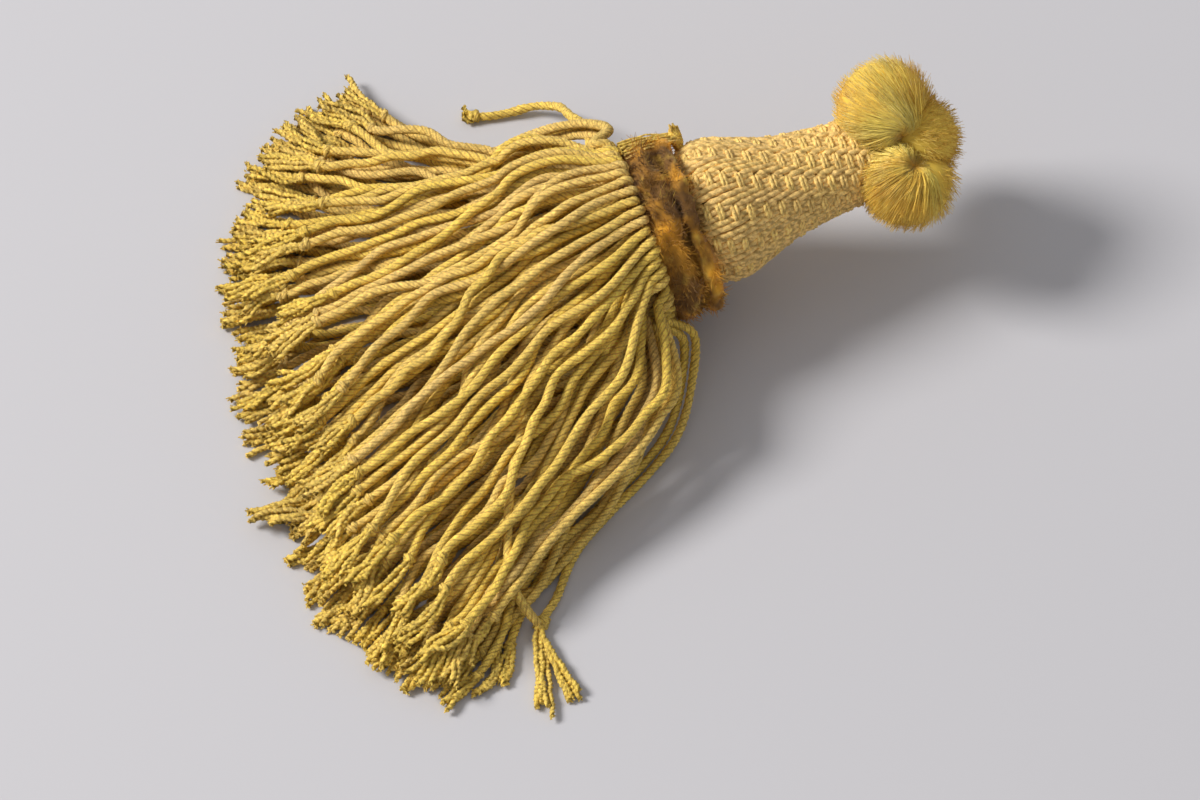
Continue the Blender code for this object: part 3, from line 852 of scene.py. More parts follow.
def collar_material(name, clean, darker_tone, painted_highlight):
    """Material of worn pile: clean and worn patches, painted highlight patches, and painted shade at the
    roots and in the hollows.
    """
    made, shader, build = new_material(name, 0.9, 0.12)
    spot = build.value("spot")
    patch = build.plus(build.noise(115.0, 3.0), build.times(spot, 0.10))
    colour = build.mix(build.ramp(patch, 0.63, 0.47), darker_tone, clean)
    # Painted highlights: yellow patches laid by noise
    highlight_streak = build.plus(build.noise(190.0, 2.0, (1.7, 1.3, 1.5)), build.times(spot, 0.12))
    colour = build.mix(build.times(build.ramp(highlight_streak, 0.60, 0.78), 0.8), colour, painted_highlight)
    # Painted shade: darker towards the worn colour by the tone_and_shade value, at the roots and in the
    # hollows
    colour = build.mix(build.times(build.value("tone_and_shade"), 0.85), colour, darker_tone)
    colour = build.shaded(colour, build.line(spot, 0.4, 0.8))
    build.join(colour, shader["Base Color"])
    return made


def plain_material(name, colour, rough):
    """Material of one colour."""
    made, shader, _ = new_material(name, rough)
    shader["Base Color"].default_value = (*colour, 1.0)
    return made


# Pieces


def ride(items, node):
    """Hand finished pieces to the frame, in place of a solid."""
    for item in items:
        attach(item, "root")
        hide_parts(node)


def finish_mesh(name, mesh_data, made_material):
    """Object of a finished bmesh with smooth outward faces."""
    bmesh.ops.recalc_face_normals(mesh_data, faces=mesh_data.faces)
    for polygon in mesh_data.faces:
        polygon.smooth = True
    mesh = bpy.data.meshes.new(name)
    mesh_data.to_mesh(mesh)
    mesh_data.free()
    mesh.materials.append(made_material)
    item = bpy.data.objects.new(name, mesh)
    bpy.context.scene.collection.objects.link(item)
    return item


def turned_mesh(name, outline, around, made_material, shift=0.0):
    """Closed turned mesh of an outline of axial positions and radii in mm, from one pole to the other."""
    mesh_data = bmesh.new()
    turns = np.linspace(0.0, FULL_TURN, around, endpoint=False)
    rings = []
    for axial, radius in outline:
        where = turns if radius else turns[:1]
        spots = on_axis(axial * MM, radius * MM, where) + (DRAWING_SHIFT + shift)
        rings.append([mesh_data.verts.new(spot) for spot in spots])
    for first, second in zip(rings, rings[1:]):
        for k in range(around):
            j = (k + 1) % around
            if len(first) == 1:
                mesh_data.faces.new((first[0], second[k], second[j]))
            elif len(second) == 1:
                mesh_data.faces.new((first[k], second[0], first[j]))
            else:
                mesh_data.faces.new((first[k], second[k], second[j], first[j]))
    return finish_mesh(name, mesh_data, made_material)


def add_knot(strands, rng, centre, way, radius, tone_and_shade, spot):
    """Overhand knot: a cord wound round itself."""
    side = unit(np.cross(way, UP + rng.normal(0, 0.2, 3)))
    lean = rng.uniform(-0.6, 0.6)
    u = np.linspace(0.0, 1.0, KNOT_STATIONS)
    angle = rng.uniform(0, FULL_TURN) + u * FULL_TURN * 1.75
    ring = 0.80 * radius * (0.45 + 0.55 * np.sin(math.pi * np.clip(u * 1.15 - 0.075, 0, 1)) ** 0.5)
    along = (u - 0.5) * radius * 2.0 + lean * ring * np.cos(angle)
    points = centre + way * along[:, None] + circle(side, np.cross(way, side), angle, ring)
    keep_above(points, radius * 0.95)
    girth = np.full(KNOT_STATIONS, radius * 0.80)
    girth[[0, -1]] *= 0.6
    strands.add(points, girth, turns_along(points, KNOT_LEAD), tone_and_shade, spot)


def add_brush(strands, tips, rng, line, radius, tone_and_shade, spot):
    """Plies that spread from a knot along a line; a big brush has more of them, in two tufts."""
    big = radius > BIG_KNOT
    count = int(rng.integers(4, 6)) + (4 if big else 0)
    t = np.linspace(0.0, 1.0, BRUSH_STATIONS)
    centre = even_points(line, BRUSH_STATIONS)
    way = tangents(centre)
    side = unit(np.cross(way, UP))
    lift = np.cross(side, way)
    length = lengths_along(line)[-1]
    spread = BIG_SPREAD if big else rng.uniform(*BRUSH_SPREAD) * MM
    order = rng.permutation(count)
    for k in range(count):
        share = (order[k] + 0.5) / count * 2.0 - 1.0
        start_turn = FULL_TURN * k / count + rng.uniform(-0.3, 0.3)
        s = t * rng.uniform(*PLY_REACH)
        out = share * spread * s ** 1.25 + 0.5 * MM * math.cos(start_turn) * (1.0 - s)
        if big and share < -0.2:
            out = out - SECOND_TUFT * s ** 1.1
            s = s * 0.86
        rise = 0.5 * MM * math.sin(start_turn) * (1.0 - s) + rng.normal(0.0, 0.5 * MM) * s ** 1.5
        crimp = CRIMP * np.minimum(1.0, s * 4.0)
        wave = FULL_TURN * s * length / CRIMP_LENGTH + start_turn
        sway = rng.normal(0.0, 0.6 * MM) * np.sin(s * math.pi * rng.uniform(0.8, 1.6))
        out = out + crimp * np.cos(wave) + sway
        rise = rise + crimp * np.sin(wave)
        base = np.stack([np.interp(s * length, t * length, centre[:, axis]) for axis in range(3)], axis=1)
        points = base + side * out[:, None] + lift * rise[:, None]
        width = rng.uniform(*PLY_WIDTH) * MM
        keep_above(points, width * 1.42)
        girth = width * (1.0 + 0.22 * t)
        girth[-1] *= 0.9
        turns = turns_along(points, PLY_LEAD) + start_turn
        ply_tone_and_shade = tone_and_shade + 0.12 * rng.uniform(-1, 1)
        strands.add(points, girth, turns, ply_tone_and_shade, min(1.0, spot + 0.2 * rng.uniform(-1, 1)))
        heading = unit(points[-1] - points[-3])
        for _ in range(HAIR_COUNT):
            aim = unit(heading + rng.normal(0.0, 0.5, 3))
            reach = rng.uniform(0.35, 0.9) * MM
            off = rng.normal(0.0, 0.22 * MM, 3)
            hair = points[-1] + off - heading * 0.3 * MM + aim * np.linspace(0.0, reach, 3)[:, None]
            keep_above(hair, TIP_FLOOR)
            tips.add(hair, HAIR_GIRTH, 0.0, tone_and_shade, spot)


def fringe_lines(settings):
    """Settled centre lines of all cords, with their keys, their levels and the starts of their brushes."""
    rng = np.random.default_rng(settings.seed)
    keys = [(round_index, sector) for round_index in range(ROUND_COUNT) for sector in range(CORDS_AROUND)]
    rows = [cord_line(*key, CORD_STATIONS) for key in keys]
    lines, shares, uppers = (np.array(column) for column in zip(*rows))
    rounds = np.array([round_index for round_index, _ in keys])
    own = np.array([key in OWN_WAYS for key in keys])
    levels = np.where(uppers, 2 * ROUND_COUNT - 1 - rounds, rounds)
    loose = loosen(rng, lines.copy(), shares, levels)
    lines = np.where(own[:, None, None], lines, loose)
    keep_above(lines, 0.9 * MM)
    radii = np.full(lines.shape[:2], settings.diameter / 2)
    starts = []
    for key, line, radius in zip(keys, lines, radii):
        along = lengths_along(line)
        length = settings.brush_length * rng.uniform(0.80, 1.16)
        if key in OWN_WAYS:
            length = OWN_WAYS[key][0] * MM
        start = min(int(np.searchsorted(along, along[-1] - length)), CORD_STATIONS - 1)
        starts.append(start)
        if length > 0.0:
            radius[start - 1:start + 2] = settings.diameter * 0.80
            radius[start + 2:] = settings.diameter * 0.60
    lines = settle(lines, radii, own, settings.settle_steps)
    return keys, lines, levels, starts, rng


def add_fuzz(tips, rng, lines, radius):
    """Single hairs that stand off the cords."""
    t = np.linspace(0.0, 1.0, len(FUZZ_GIRTH))
    for _ in range(FUZZ_COUNT):
        line = lines[int(rng.integers(0, len(lines)))]
        at = int(rng.integers(4, len(line) - 14))
        out = unit(rng.normal(0.0, 1.0, 3) + UP * 0.8)
        hair = line[at] + out * (radius * 0.9 + t * rng.uniform(*FUZZ_LENGTH) * MM)[:, None]
        hair = hair + rng.normal(0.0, 0.9 * MM, 3) * (t ** 2)[:, None]
        keep_above(hair, HAIR_FLOOR)
        tips.add(hair, FUZZ_GIRTH, 0.0, 0.0, rng.uniform(0.0, 1.0))


class TASSEL_OT_fringe(bpy.types.Operator):
    """Add the cords of the fringe with their knots and brushes"""

    bl_idname = "tassel.fringe"
    bl_label = "Add fringe"

    def execute(self, context):
        settings = context.scene.tassel_cords
        keys, lines, levels, starts, rng = fringe_lines(settings)
        radius = settings.diameter / 2
        top, mid, under, knots, brushes, tips = (Strands() for _ in range(6))
        for key, line, level, start in zip(keys, lines, levels, starts):
            cord = line[:start + 1]
            upper = level >= ROUND_COUNT
            spot = rng.uniform(0.0, 1.0)
            # Random tone, and painted shade: the cords of the lower half, which lie under the others, get
            # 0.15 more
            tone_and_shade = rng.uniform(0.0, 0.25) + (0.0 if upper else 0.15)
            turns = turns_along(cord, settings.lead * rng.uniform(0.90, 1.10)) + rng.uniform(0, 6.28)
            girth = radius * (1.0 + 0.05 * slow_noise(rng, 1, np.linspace(0, 1, len(cord)), (5.0, 9.0))[0])
            sheet = top if level == 2 * ROUND_COUNT - 1 else mid if upper else under
            sheet.add(cord, girth, turns, tone_and_shade, spot)
            if start >= len(line) - 2:
                continue
            way = unit(line[min(start + 1, len(line) - 1)] - line[start - 1])
            big = OWN_WAYS.get(key, (0.0,))[0] > LONG_BRUSH
            size = radius * (1.28 if big else rng.uniform(0.94, 1.08))
            add_knot(knots, rng, line[start] + way * radius * 0.6, way, size, tone_and_shade, spot)
            add_brush(brushes, tips, rng, line[start:], size, tone_and_shade * 0.4, spot * 0.7)
        add_fuzz(tips, rng, lines, radius)
        colours = settings.lit, settings.faded, settings.painted_shade
        silk = yarn_material("cord_silk", *colours, 0.8, 0.74)
        loose_silk = yarn_material("brush_silk", *colours, 0.5, 0.45)
        plies, depth = settings.plies, settings.ply_depth
        made = [
            sweep(name, strands, settings.spacing * wider, 2 * plies, plies, depth, silk)
            for name, strands, wider in (
                ("cords_top", top, 1.0), ("cords_mid", mid, 1.1),
                ("cords_under", under, 2.2), ("knots", knots, 1.1))]
        made.append(sweep("brushes", brushes, 0.95 * MM, 6, 2, 0.16, loose_silk))
        made.append(sweep("brush_tips", tips, 0.7 * MM, 3, 3, 0.0, loose_silk))
        # Painted shade: a core in the shade colour under the cords' roots
        dark = plain_material("fringe_core_painted_shade", settings.painted_shade, 0.9)
        outline = ((-6.2, 0.0), (-6.2, 17.0), (-8.6, 16.2), (-11.6, 13.2), (-14.4, 10.4), (-15.4, 0.0))
        made.append(turned_mesh("fringe_core_painted_shade", outline, 48, dark))
        ride(made, "fringe")
        return {"FINISHED"}


def collar_swell(turns):
    """How much farther out the collar sags at its front and is pressed in under the ties, in metres."""
    degrees = np.degrees(turns)
    return (2.8 * hill(degrees, -97.0, 24.0) - 1.4 * hill(degrees, 54.0, 22.0)) * MM


def collar_lumps(places):
    """Height of the collar's uneven places, about -1 to 1, at points of the drawing."""
    rng = np.random.default_rng(77)
    total = np.zeros(len(places))
    for size, span in ((1.1, 9.0), (1.0, 5.5), (0.55, 3.0), (0.3, 1.5)):
        ways = unit(rng.normal(0.0, 1.0, (5, 3))) * FULL_TURN / (span * MM)
        phases = rng.uniform(0, FULL_TURN, 5)
        total += size * np.sin(places @ ways.T + phases).sum(axis=1) / 5.0
    return total


def roughen(item, height):
    """Uneven a turned mesh by the collar's lumps, and give its points the values that the fibres have, with
    painted shade in the hollows.
    """
    mesh = item.data
    places = np.array([vertex.co for vertex in mesh.vertices])
    normals = np.array([vertex.normal for vertex in mesh.vertices])
    lumps = collar_lumps(places - DRAWING_SHIFT)
    away = places - DRAWING_SHIFT - WAIST
    away = away - AXIS * (away @ AXIS)[:, None]
    turns = np.arctan2(away @ ACROSS, away @ ABOVE)
    out = np.clip(np.linalg.norm(away, axis=1) / COLLAR_REACH, 0.0, 1.0)
    places = places + normals * (np.maximum(lumps, -0.6) * height)[:, None]
    places = places + radials(turns) * (collar_swell(turns) * out ** 2)[:, None]
    mesh.vertices.foreach_set("co", places.astype(np.float32).reshape(-1))
    # Painted shade: darker in the hollows between the lumps
    store_values(mesh, "tone_and_shade", np.clip(0.45 - 0.45 * lumps, 0.1, 0.85))
    store_values(mesh, "spot", np.full(len(places), 0.5))
    mesh.update()


def pile_fibres(rng, count, row, length, width, root_shade):
    """Short fibres that stand on the outer half of a ring."""
    axial, radius, lobe = np.array(row) * MM
    turn = rng.uniform(-math.pi, math.pi, count)
    angle = rng.uniform(-1.75, 1.75, count)
    out = radials(turn)
    normal = circle(out, AXIS, angle)
    base = on_axis(axial, radius, turn) + normal * lobe
    lumps = collar_lumps(base)
    base = base + normal * ((np.maximum(lumps, -0.6) - 0.15) * COLLAR_LUMP)[:, None]
    base = base + out * collar_swell(turn)[:, None]
    long = length * np.clip(0.75 + 0.25 * lumps + rng.normal(0.0, 0.18, count), 0.3, 1.3)[:, None, None]
    comb = 0.7 * np.sin(turn * 5 + 0.6) + 0.4 * np.sin(turn * 11 + angle * 2.0)
    aim = normal + np.cross(AXIS, out) * comb[:, None] + AXIS * (0.4 * np.sin(turn * 7 + 2.0))[:, None]
    aim = unit(aim + rng.normal(0.0, 0.35, (count, 3)))
    bend = unit(rng.normal(0.0, 1.0, (count, 3)))
    t = np.linspace(0.0, 1.0, 4)
    points = base[:, None] + aim[:, None] * (t[:, None] * long)
    points = points + bend[:, None] * (t[:, None] ** 2 * long * 0.35)
    keep_above(points, HAIR_FLOOR)
    # Painted shade: darker at the fibres' roots and over the hollows between the lumps
    root = root_shade * (1.0 - t) + np.clip(0.22 - 0.35 * lumps, 0.0, 0.8)[:, None]
    strands = Strands()
    strands.add(
        points, width * np.array((0.5, 0.5, 0.45, 0.3)), 0.0, np.clip(root, 0.0, 1.0),
        rng.uniform(0.0, 1.0, count)[:, None])
    return strands


def arc_outline(row, radius, low, high, count):
    """Axial positions and radii in mm on an arc round a row of the collar."""
    return [
        (row[0] + radius * math.sin(angle), row[1] + radius * math.cos(angle))
        for angle in np.radians(np.linspace(low, high, count))]


class TASSEL_OT_collar(bpy.types.Operator):
    """Add the worn pile collar"""

    bl_idname = "tassel.collar"
    bl_label = "Add collar"

    def execute(self, context):
        settings = context.scene.tassel_pile
        rng = np.random.default_rng(5)
        pile = collar_material("collar_pile", settings.orange, settings.brown, settings.highlight_yellow)
        length, many = settings.collar_length, settings.collar_fibres
        lobe = pile_fibres(rng, int(many * 0.80), COLLAR_LOBE, length, 0.13 * MM, 0.5)
        ridge = pile_fibres(rng, int(many * 0.20), COLLAR_RIDGE, length * 0.7, 0.12 * MM, 0.2)
        outline = [(-7.2, 0.0), (-7.2, 12.8)]
        outline += arc_outline(COLLAR_LOBE, 4.3, -85.0, 65.0, 13)
        outline += arc_outline((2.3, 15.6), 1.4, -50.0, 85.0, 8)
        outline += [(3.9, 12.0), (3.8, 0.0)]
        made = [
            sweep("collar_pile", lobe, 0.8 * MM, 3, 3, 0.0, pile),
            sweep("collar_ridge", ridge, 0.7 * MM, 3, 3, 0.0, pile),
            turned_mesh("collar_core", outline, 260, pile),
        ]
        roughen(made[-1], COLLAR_LUMP)
        ride(made, "collar")
        return {"FINISHED"}


def head_radius(axial):
    """Radius of the head's cover at axial positions, in metres."""
    table = np.array(HEAD_PROFILE) * MM
    return hermite(table, np.clip(axial, table[0, 0], table[-1, 0]))[..., 1]


def turn_with(lean, fine):
    """Turn of a yarn that leans to the axis, at fine steps along the head."""
    steps = np.diff(fine) * math.tan(lean) / head_radius(fine[1:])
    return np.concatenate(([0.0], np.cumsum(steps)))


class Plait:
    """The head's long yarns and short stitches, laid with fixed random numbers."""

    def __init__(self, settings):
        self.settings = settings
        self.rng = np.random.default_rng(23)
        self.fine = np.linspace(HEAD_START, HEAD_END, 400)
        self.lean = turn_with(settings.lean, self.fine)
        self.float_lean = turn_with(settings.float_lean, self.fine)
        self.ticks, self.floats = Strands(), Strands()

    def add_float(self, axial, start_turn, next_turn):
        """One long yarn from a stitch's end, over the band and under the next row."""
        fine, float_lean = self.fine, self.float_lean
        run = fine[fine >= axial + 0.55 * self.settings.tick_width]
        if len(run) < 12:
            return
        slope = float_lean[1] / (fine[1] - fine[0])
        begun = np.interp(axial, fine, float_lean) if axial > fine[0] else slope * (axial - fine[0])
        turn = start_turn - (np.interp(run, fine, float_lean) - begun)
        next_row = next_turn - np.interp(run, fine, self.lean)
        half = STITCH_HALF / head_radius(run)
        met = np.nonzero(turn > next_row + half)[0]
        stop = met[0] if len(met) else len(run)
        if stop < 8:
            return
        pick = np.linspace(0, stop - 1, FLOAT_STATIONS).astype(int)
        place, turn, next_row, half = run[pick], turn[pick], next_row[pick], half[pick]
        under = smooth_step((turn - next_row + half * 1.2) / (half * 0.6))
        lift = (0.26 - 0.30 * under) * MM
        if axial >= fine[0]:
            lift[0] -= 0.30 * MM
        points = on_axis(place, head_radius(place) + lift, turn)
        girth = np.full(FLOAT_STATIONS, self.settings.float_width / 2)
        girth[0] *= 0.8
        turns = turns_along(points, FLOAT_LEAD) + self.rng.uniform(0, 6.28)
        tone_and_shade = self.rng.uniform(0.0, 0.2)
        self.floats.add(points + HEAD_SHIFT, girth, turns, tone_and_shade, self.rng.uniform(0, 1))

    def add_stitch(self, axial, turn):
        """Two short yarns side by side that bow up over their row."""
        spot = self.rng.uniform(0, 1)
        turn = turn + self.rng.normal(0.0, 0.03) * FULL_TURN / self.settings.columns
        u = np.linspace(-1.0, 1.0, STITCH_STATIONS)
        width = self.settings.tick_width
        for yarn in (-0.5, 0.5):
            shift = yarn * width * 0.74 + self.rng.normal(0.0, 0.04 * MM)
            place = np.full(STITCH_STATIONS, axial + shift)
            lift = (0.68 - 1.20 * np.abs(u) ** 3.4) * MM
            bow = u * STITCH_HALF / head_radius(axial) * 1.18
            points = on_axis(place, head_radius(place) + lift, turn + bow)
            girth = width / 2 * (1.0 + 0.10 * (1.0 - u * u))
            turns = turns_along(points, STITCH_LEAD) + self.rng.uniform(0, 6.28)
            self.ticks.add(points + HEAD_SHIFT, girth, turns, self.rng.uniform(0.0, 0.18), spot)

    def fill(self):
        """All rows of stitches, with the long yarns between them."""
        gaps = np.interp(np.linspace(0.0, 1.0, self.settings.ticks - 1), (0.0, 0.3, 1.0), (0.82, 1.15, 0.72))
        shares = np.concatenate(([0.0], np.cumsum(gaps) / gaps.sum()))
        centres = HEAD_START + (HEAD_END - HEAD_START) * shares
        before = centres[0] - (centres[1] - centres[0]) * np.arange(5, 0, -1)
        pitch = FULL_TURN / self.settings.columns
        slope = self.lean[1] / (self.fine[1] - HEAD_START)
        for column in range(self.settings.columns):
            next_turn = (column + 1) * pitch
            for axial in before:
                turn = column * pitch + slope * (HEAD_START - axial)
                self.add_float(axial, turn + STITCH_HALF / head_radius(HEAD_START) * 0.85, next_turn)
            for axial in centres:
                turn = column * pitch - np.interp(axial, self.fine, self.lean)
                self.add_stitch(axial, turn)
                self.add_float(axial, turn + STITCH_HALF / head_radius(axial) * 0.85, next_turn)


class TASSEL_OT_head(bpy.types.Operator):
    """Add the plaited cover of the head"""

    bl_idname = "tassel.head"
    bl_label = "Add head"

    def execute(self, context):
        settings = context.scene.tassel_plait
        plait = Plait(settings)
        plait.fill()
        light = yarn_material("stitch_silk", settings.light, settings.faded, settings.painted_shade, 0.55, 0.6, 0.45)
        dull = yarn_material("float_silk", settings.faded, settings.light, settings.painted_shade, 0.55, 0.7, 0.45)
        # Painted shade: the head's core is dark so that it shows as shade between the yarns
        core = plain_material("head_core_painted_shade", settings.core, 0.9)
        outline = [(2.4, 0.0), (2.4, 9.2)]
        for axial in np.linspace(3.4, 41.0, 40):
            outline.append((axial, float(head_radius(axial * MM)) / MM - 0.55))
        outline += [(42.0, 6.0), (46.0, 3.0), (52.0, 2.4), (52.0, 0.0)]
        made = [
            sweep("head_stitches", plait.ticks, 0.62 * MM, 6, 2, 0.05, light),
            sweep("head_floats", plait.floats, 0.60 * MM, 6, 2, 0.05, dull),
            turned_mesh("head_core_painted_shade", outline, 72, core, HEAD_SHIFT),
        ]
        ride(made, "head")
        return {"FINISHED"}


class TASSEL_OT_ties(bpy.types.Operator):
    """Add the loose threads that are tied over the collar's top"""

    bl_idname = "tassel.ties"
    bl_label = "Add ties"

    def add_threads(self, threads, rng):
        """Threads that run over the collar."""
        t = np.linspace(0.0, 1.0, 9)
        for _ in range(TIE_COUNT):
            axial = (-5.2 + 12.0 * t * rng.uniform(0.6, 1.0)) * MM
            lift = (17.7 + rng.normal(0.0, 0.35) + 0.4 * np.sin(math.pi * t) - 1.6 * t) * MM
            turn = TIE_TURN + rng.normal(0.0, 10.0) * (1.0 - 0.6 * t)
            turn = turn + rng.normal(0.0, 2.6) * np.sin(t * 4.0)
            points = on_axis(axial, lift, np.radians(turn))
            points = points + rng.normal(0.0, 0.12 * MM, points.shape)
            girth = np.full(9, rng.uniform(0.16, 0.30) * MM)
            girth[-1] *= 0.4
            tone_and_shade = rng.uniform(0, 0.4)
            threads.add(points, girth, turns_along(points, TIE_LEAD), tone_and_shade, rng.uniform(0, 1))

    def add_knob(self, threads, rng):
        """Wound yarns with cut ends beside the head's foot."""
        foot = on_axis(*KNOB_FOOT, math.radians(TIE_TURN))
        up = radials(math.radians(38.0))
        side = unit(np.cross(up, UP))
        other = unit(np.cross(up, np.cross(up, UP)))
        t = np.linspace(0.0, 1.0, 34)
        ring = (0.62 + 0.34 * smooth_step(t / 0.4) - 0.20 * smooth_step((t - 0.8) / 0.2)) * MM
        for wind in range(KNOB_YARNS):
            angle = FULL_TURN * (3.4 * t + wind / KNOB_YARNS)
            points = foot + up * (t * KNOB_HEIGHT)[:, None] + circle(side, other, angle, ring)
            threads.add(points, np.full(34, 0.42 * MM), turns_along(points, TIE_LEAD), 0.05, 0.3)
        t = np.linspace(0.0, 1.0, 4)
        for _ in range(KNOB_ENDS):
            step = rng.normal(0.0, 0.5 * MM, 3)
            points = foot + up * ((0.7 + 0.3 * t) * rng.uniform(4.3, 4.8) * MM)[:, None] + step
            threads.add(points, np.array((0.24, 0.27, 0.25, 0.18)) * MM, 0.0, 0.0, rng.uniform(0, 1))

    def execute(self, context):
        cords = context.scene.tassel_cords
        rng = np.random.default_rng(31)
        threads = Strands()
        self.add_threads(threads, rng)
        self.add_knob(threads, rng)
        silk = yarn_material("tie_silk", cords.lit, cords.faded, cords.painted_shade, 0.6, 0.5)
        ride([sweep("tie_threads", threads, 0.5 * MM, 5, 2, 0.1, silk)], "tie_end")
        return {"FINISHED"}


def pompom_places():
    """Centre, pole direction, radius and start of each pompom."""
    places = []
    for axial, distance, turn, radius, start, pole in POMPOMS:
        centre = on_axis(axial * MM, distance * MM, math.radians(turn))
        places.append((centre, unit(np.array(pole)), radius * MM, start * MM))
    return places


def keep_parted(points, number, places, overlap):
    """Points kept on their own pompom's side of the planes between pompoms, and off the head."""
    flat = points.reshape(-1, 3)
    centre, _, _, start = places[number]
    for other, place in enumerate(places):
        if other != number:
            way = unit(place[0] - centre)
            over = (flat - (centre + place[0]) / 2) @ way - overlap
            flat = flat - way * np.maximum(over, 0.0)[:, None] * 0.85
    axial = (flat - WAIST) @ AXIS
    foot = WAIST + AXIS * axial[:, None]
    away = flat - foot
    distance = np.linalg.norm(away, axis=1)
    least = np.where(axial < 41.5 * MM, head_radius(axial) + 0.7 * MM, 1.5 * MM)
    grown = np.maximum(distance, least)
    flat = foot + away / np.maximum(distance, 1e-9)[:, None] * grown[:, None]
    flat = flat + AXIS * np.maximum(start - 1.2 * MM - axial, 0.0)[:, None]
    keep_above(flat, HAIR_FLOOR)
    return flat.reshape(points.shape)


def pompom_strands(number, places, count, width, rng):
    """Fibres of one pompom, from the tie at its pole over its side to their cut ends."""
    centre, pole, radius, _ = places[number]
    side = unit(np.cross(pole, np.array((0.31, 0.52, 0.79))))
    other = np.cross(pole, side)

    def drawn(low, high, size=count):
        return rng.uniform(low, high, size)

    def angles(least, size):
        return np.arccos(drawn(math.cos(math.radians(172)), math.cos(math.radians(least)), size))

    def shaken(ways, size):
        return unit(ways + rng.normal(0.0, size, (count, 3)))

    lock_angle = angles(62, POMPOM_LOCKS)
    lock_way = circle(pole, circle(side, other, drawn(0, FULL_TURN, POMPOM_LOCKS)), lock_angle)
    lock_reach = drawn(0.935, 1.06, POMPOM_LOCKS)
    angle = angles(56, count)
    flat = circle(side, other, drawn(0, FULL_TURN))
    end_way = circle(pole, flat, angle)
    nearest = np.argmax(end_way @ lock_way.T, axis=1)
    end_way = unit(end_way * 0.72 + lock_way[nearest] * 0.28)
    depth = np.where(drawn(0, 1) < 0.8, drawn(0.93, 1.0), drawn(0.6, 0.93))
    reach = radius * lock_reach[nearest] * drawn(0.92, 1.04)
    end_way = shaken(end_way, 0.035)
    start = centre + pole * radius * POMPOM_DENT[number] + flat * (drawn(0.01, 0.07) * radius)[:, None]
    rise = (radius * 0.52 + radius * 0.48 * depth)[:, None]
    first = centre + pole * rise + flat * (radius * 0.30 * depth)[:, None]
    second = circle(pole, flat, np.maximum(angle - 0.70, 0.45)) * (radius * 1.06 * depth)[:, None]
    end = end_way * reach[:, None]
    begun = np.where(drawn(0, 1) < 0.45, 0.0, drawn(0.12, 0.45))
    cut = end_way @ AXIS + 0.12 * rng.normal(0.0, 1.0, count) > POMPOM_CUT[number]
    begun = np.where(cut, drawn(0.55, 0.82), begun)
    stray_end = shaken(end_way, 0.12) * (reach * drawn(0.97, 1.06))[:, None]
    stray_way = shaken(end_way, 0.10) * radius * 0.78
    end = centre + np.where(cut[:, None], stray_end, end)
    second = centre + np.where(cut[:, None], stray_way, second)
    t = begun[:, None] + (1.0 - begun[:, None]) * np.linspace(0.0, 1.0, len(FLOSS_GIRTH))
    points = bezier(start[:, None], first[:, None], second[:, None], end[:, None], t[:, :, None])
    loose = rng.normal(0.0, 0.05, (count, 1)) * np.sin(2.2 * t) * radius
    points = points + np.cross(pole, flat)[:, None] * loose[:, :, None]
    whorl = math.radians(POMPOM_WHORL[number]) * (1.0 - t) ** 1.5
    away = points - centre
    along = (away @ pole)[:, :, None] * pole
    points = centre + along + circle(away - along, np.cross(pole, away - along), whorl)
    points = keep_parted(points, number, places, 0.9 * MM)
    # Painted shade: darker near the tie and for fibres that lie deeper in the pompom; the tips and the cut
    # fibres at the side are drawn darker as well
    inner = np.clip(1.0 - t / 0.30, 0.0, 1.0) ** 1.3
    tip = np.clip((t - 0.86) / 0.14, 0.0, 1.0)
    # The cut fibres at the pompom's side are drawn darker by a random amount
    darker_tone = np.where(cut, drawn(0.0, 0.55), 0.0)
    tone_and_shade = np.clip(0.95 * inner + 0.30 * tip + ((1.0 - depth) * 0.8 + darker_tone)[:, None], 0.0, 1.0)
    tone = 0.6 * drawn(0.0, 1.0, POMPOM_LOCKS)[nearest] + 0.4 * drawn(0.0, 1.0)
    strands = Strands()
    strands.add(points, width / 2 * FLOSS_GIRTH, 0.0, tone_and_shade, tone[:, None])
    return strands


def pompom_core(name, number, places, made_material):
    """Closed ball under a pompom's fibres, dented at its tie."""
    centre, pole, radius, _ = places[number]
    mesh_data = bmesh.new()
    bmesh.ops.create_icosphere(mesh_data, subdivisions=4, radius=radius * 0.90)
    spots = np.array([vertex.co for vertex in mesh_data.verts])
    towards = np.clip(unit(spots) @ pole, 0.0, 1.0)
    spots = spots * (1.0 - (0.98 - POMPOM_DENT[number]) * towards ** 4)[:, None] + centre
    spots = keep_parted(spots, number, places, -0.1 * MM) + DRAWING_SHIFT
    for vertex, spot in zip(mesh_data.verts, spots):
        vertex.co = spot
    return finish_mesh(name, mesh_data, made_material)


class TASSEL_OT_pompoms(bpy.types.Operator):
    """Add the four pompoms of cut floss"""

    bl_idname = "tassel.pompoms"
    bl_label = "Add pompoms"

    def execute(self, context):
        settings = context.scene.tassel_pile
        places = pompom_places()
        floss = floss_material("pompom_floss", settings.floss, FLOSS_WORN, settings.floss_painted_shade)
        core_material = plain_material("pompom_core", settings.floss_core, 0.8)
        for number, share in enumerate(POMPOM_SHARE):
            rng = np.random.default_rng(100 + number)
            count = int(settings.pompom_fibres * share)
            strands = pompom_strands(number, places, count, settings.fibre_width, rng)
            name = f"pompom_{number + 1}"
            fibres = sweep(name + "_floss", strands, 2.6 * MM, 3, 3, 0.0, floss)
            ride([fibres, pompom_core(name + "_core", number, places, core_material)], name)
        return {"FINISHED"}


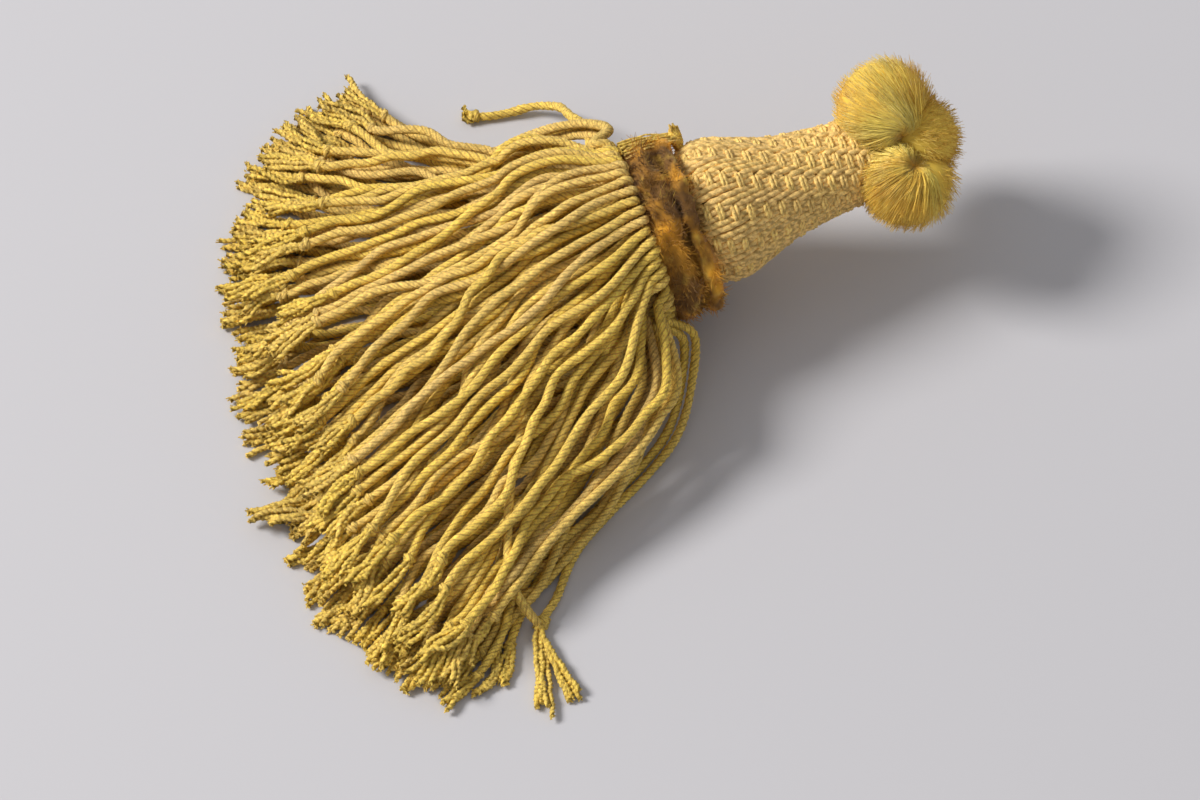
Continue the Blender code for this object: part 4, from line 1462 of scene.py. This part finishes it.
class TASSEL_OT_stage(bpy.types.Operator):
    """Add the floor, the lights and the camera"""

    bl_idname = "tassel.stage"
    bl_label = "Add stage"

    def place(self, context, name, data, spot, target):
        """Object that stands at a spot and looks at a target."""
        item = bpy.data.objects.new(name, data)
        context.scene.collection.objects.link(item)
        item.location = spot
        item.rotation_euler = (target - item.location).to_track_quat("-Z", "Y").to_euler()
        return item

    def execute(self, context):
        settings = context.scene.tassel_stage
        bpy.ops.mesh.primitive_plane_add(size=4.0, location=(0.0, 0.0, 0.0))
        floor = context.active_object
        floor.name = "stage_floor"
        floor.data.materials.append(plain_material("stage_floor", settings.floor, 0.75))
        target = Vector((0.0012, 0.0009, 0.0))
        lamp = bpy.data.lights.new("key_light", "AREA")
        lamp.shape = "DISK"
        lamp.size = settings.key_size
        lamp.energy = settings.key_power
        lamp.color = (1.0, 0.985, 0.96)
        self.place(context, "key_light", lamp, target + Vector((-2.11, 0.256, 1.86)), target)
        world = bpy.data.worlds.new("stage_world")
        world.use_nodes = True
        background = world.node_tree.nodes["Background"]
        background.inputs["Color"].default_value = (0.97, 0.975, 1.0, 1.0)
        background.inputs["Strength"].default_value = settings.fill
        context.scene.world = world
        camera = bpy.data.cameras.new("camera")
        camera.lens = settings.lens
        camera.sensor_width = 36.0
        camera.clip_start = 0.01
        rise = settings.elevation
        spot = target + Vector((0.0, -math.cos(rise), math.sin(rise))) * settings.distance
        bpy.context.scene.camera = self.place(context, "camera", camera, spot, target)
        context.scene.view_settings.view_transform = "Standard"
        return {"FINISHED"}


class TASSEL_PT_panel(bpy.types.Panel):
    """Settings and buttons of the tassel"""

    bl_idname = "TASSEL_PT_panel"
    bl_label = "Silk tassel"
    bl_space_type = "VIEW_3D"
    bl_region_type = "UI"
    bl_category = "Tassel"

    def draw(self, context):
        layout = self.layout
        for name, kind in SETTINGS:
            settings = getattr(context.scene, name)
            box = layout.box()
            for prop in kind.__annotations__:
                box.prop(settings, prop)
        for operator in OPERATORS:
            layout.operator(operator.bl_idname)


SETTINGS = (
    ("tassel_cords", TasselCordSettings),
    ("tassel_plait", TasselPlaitSettings),
    ("tassel_pile", TasselPileSettings),
    ("tassel_stage", TasselStageSettings),
)
OPERATORS = (
    TASSEL_OT_fringe, TASSEL_OT_collar, TASSEL_OT_head, TASSEL_OT_ties, TASSEL_OT_pompoms, TASSEL_OT_stage,
)


def register():
    """Make the settings, the operators and the panel known."""
    for name, kind in SETTINGS:
        bpy.utils.register_class(kind)
        setattr(bpy.types.Scene, name, bpy.props.PointerProperty(type=kind))
    for kind in OPERATORS + (TASSEL_PT_panel,):
        bpy.utils.register_class(kind)


def unregister():
    """Take away what register made known."""
    for kind in reversed(OPERATORS + (TASSEL_PT_panel,)):
        bpy.utils.unregister_class(kind)
    for name, kind in reversed(SETTINGS):
        delattr(bpy.types.Scene, name)
        bpy.utils.unregister_class(kind)


def main():
    """Build every piece."""
    register()
    bpy.ops.tassel.fringe()
    bpy.ops.tassel.collar()
    bpy.ops.tassel.head()
    bpy.ops.tassel.ties()
    bpy.ops.tassel.pompoms()
    bpy.ops.tassel.stage()


if __name__ == "__main__":
    main()
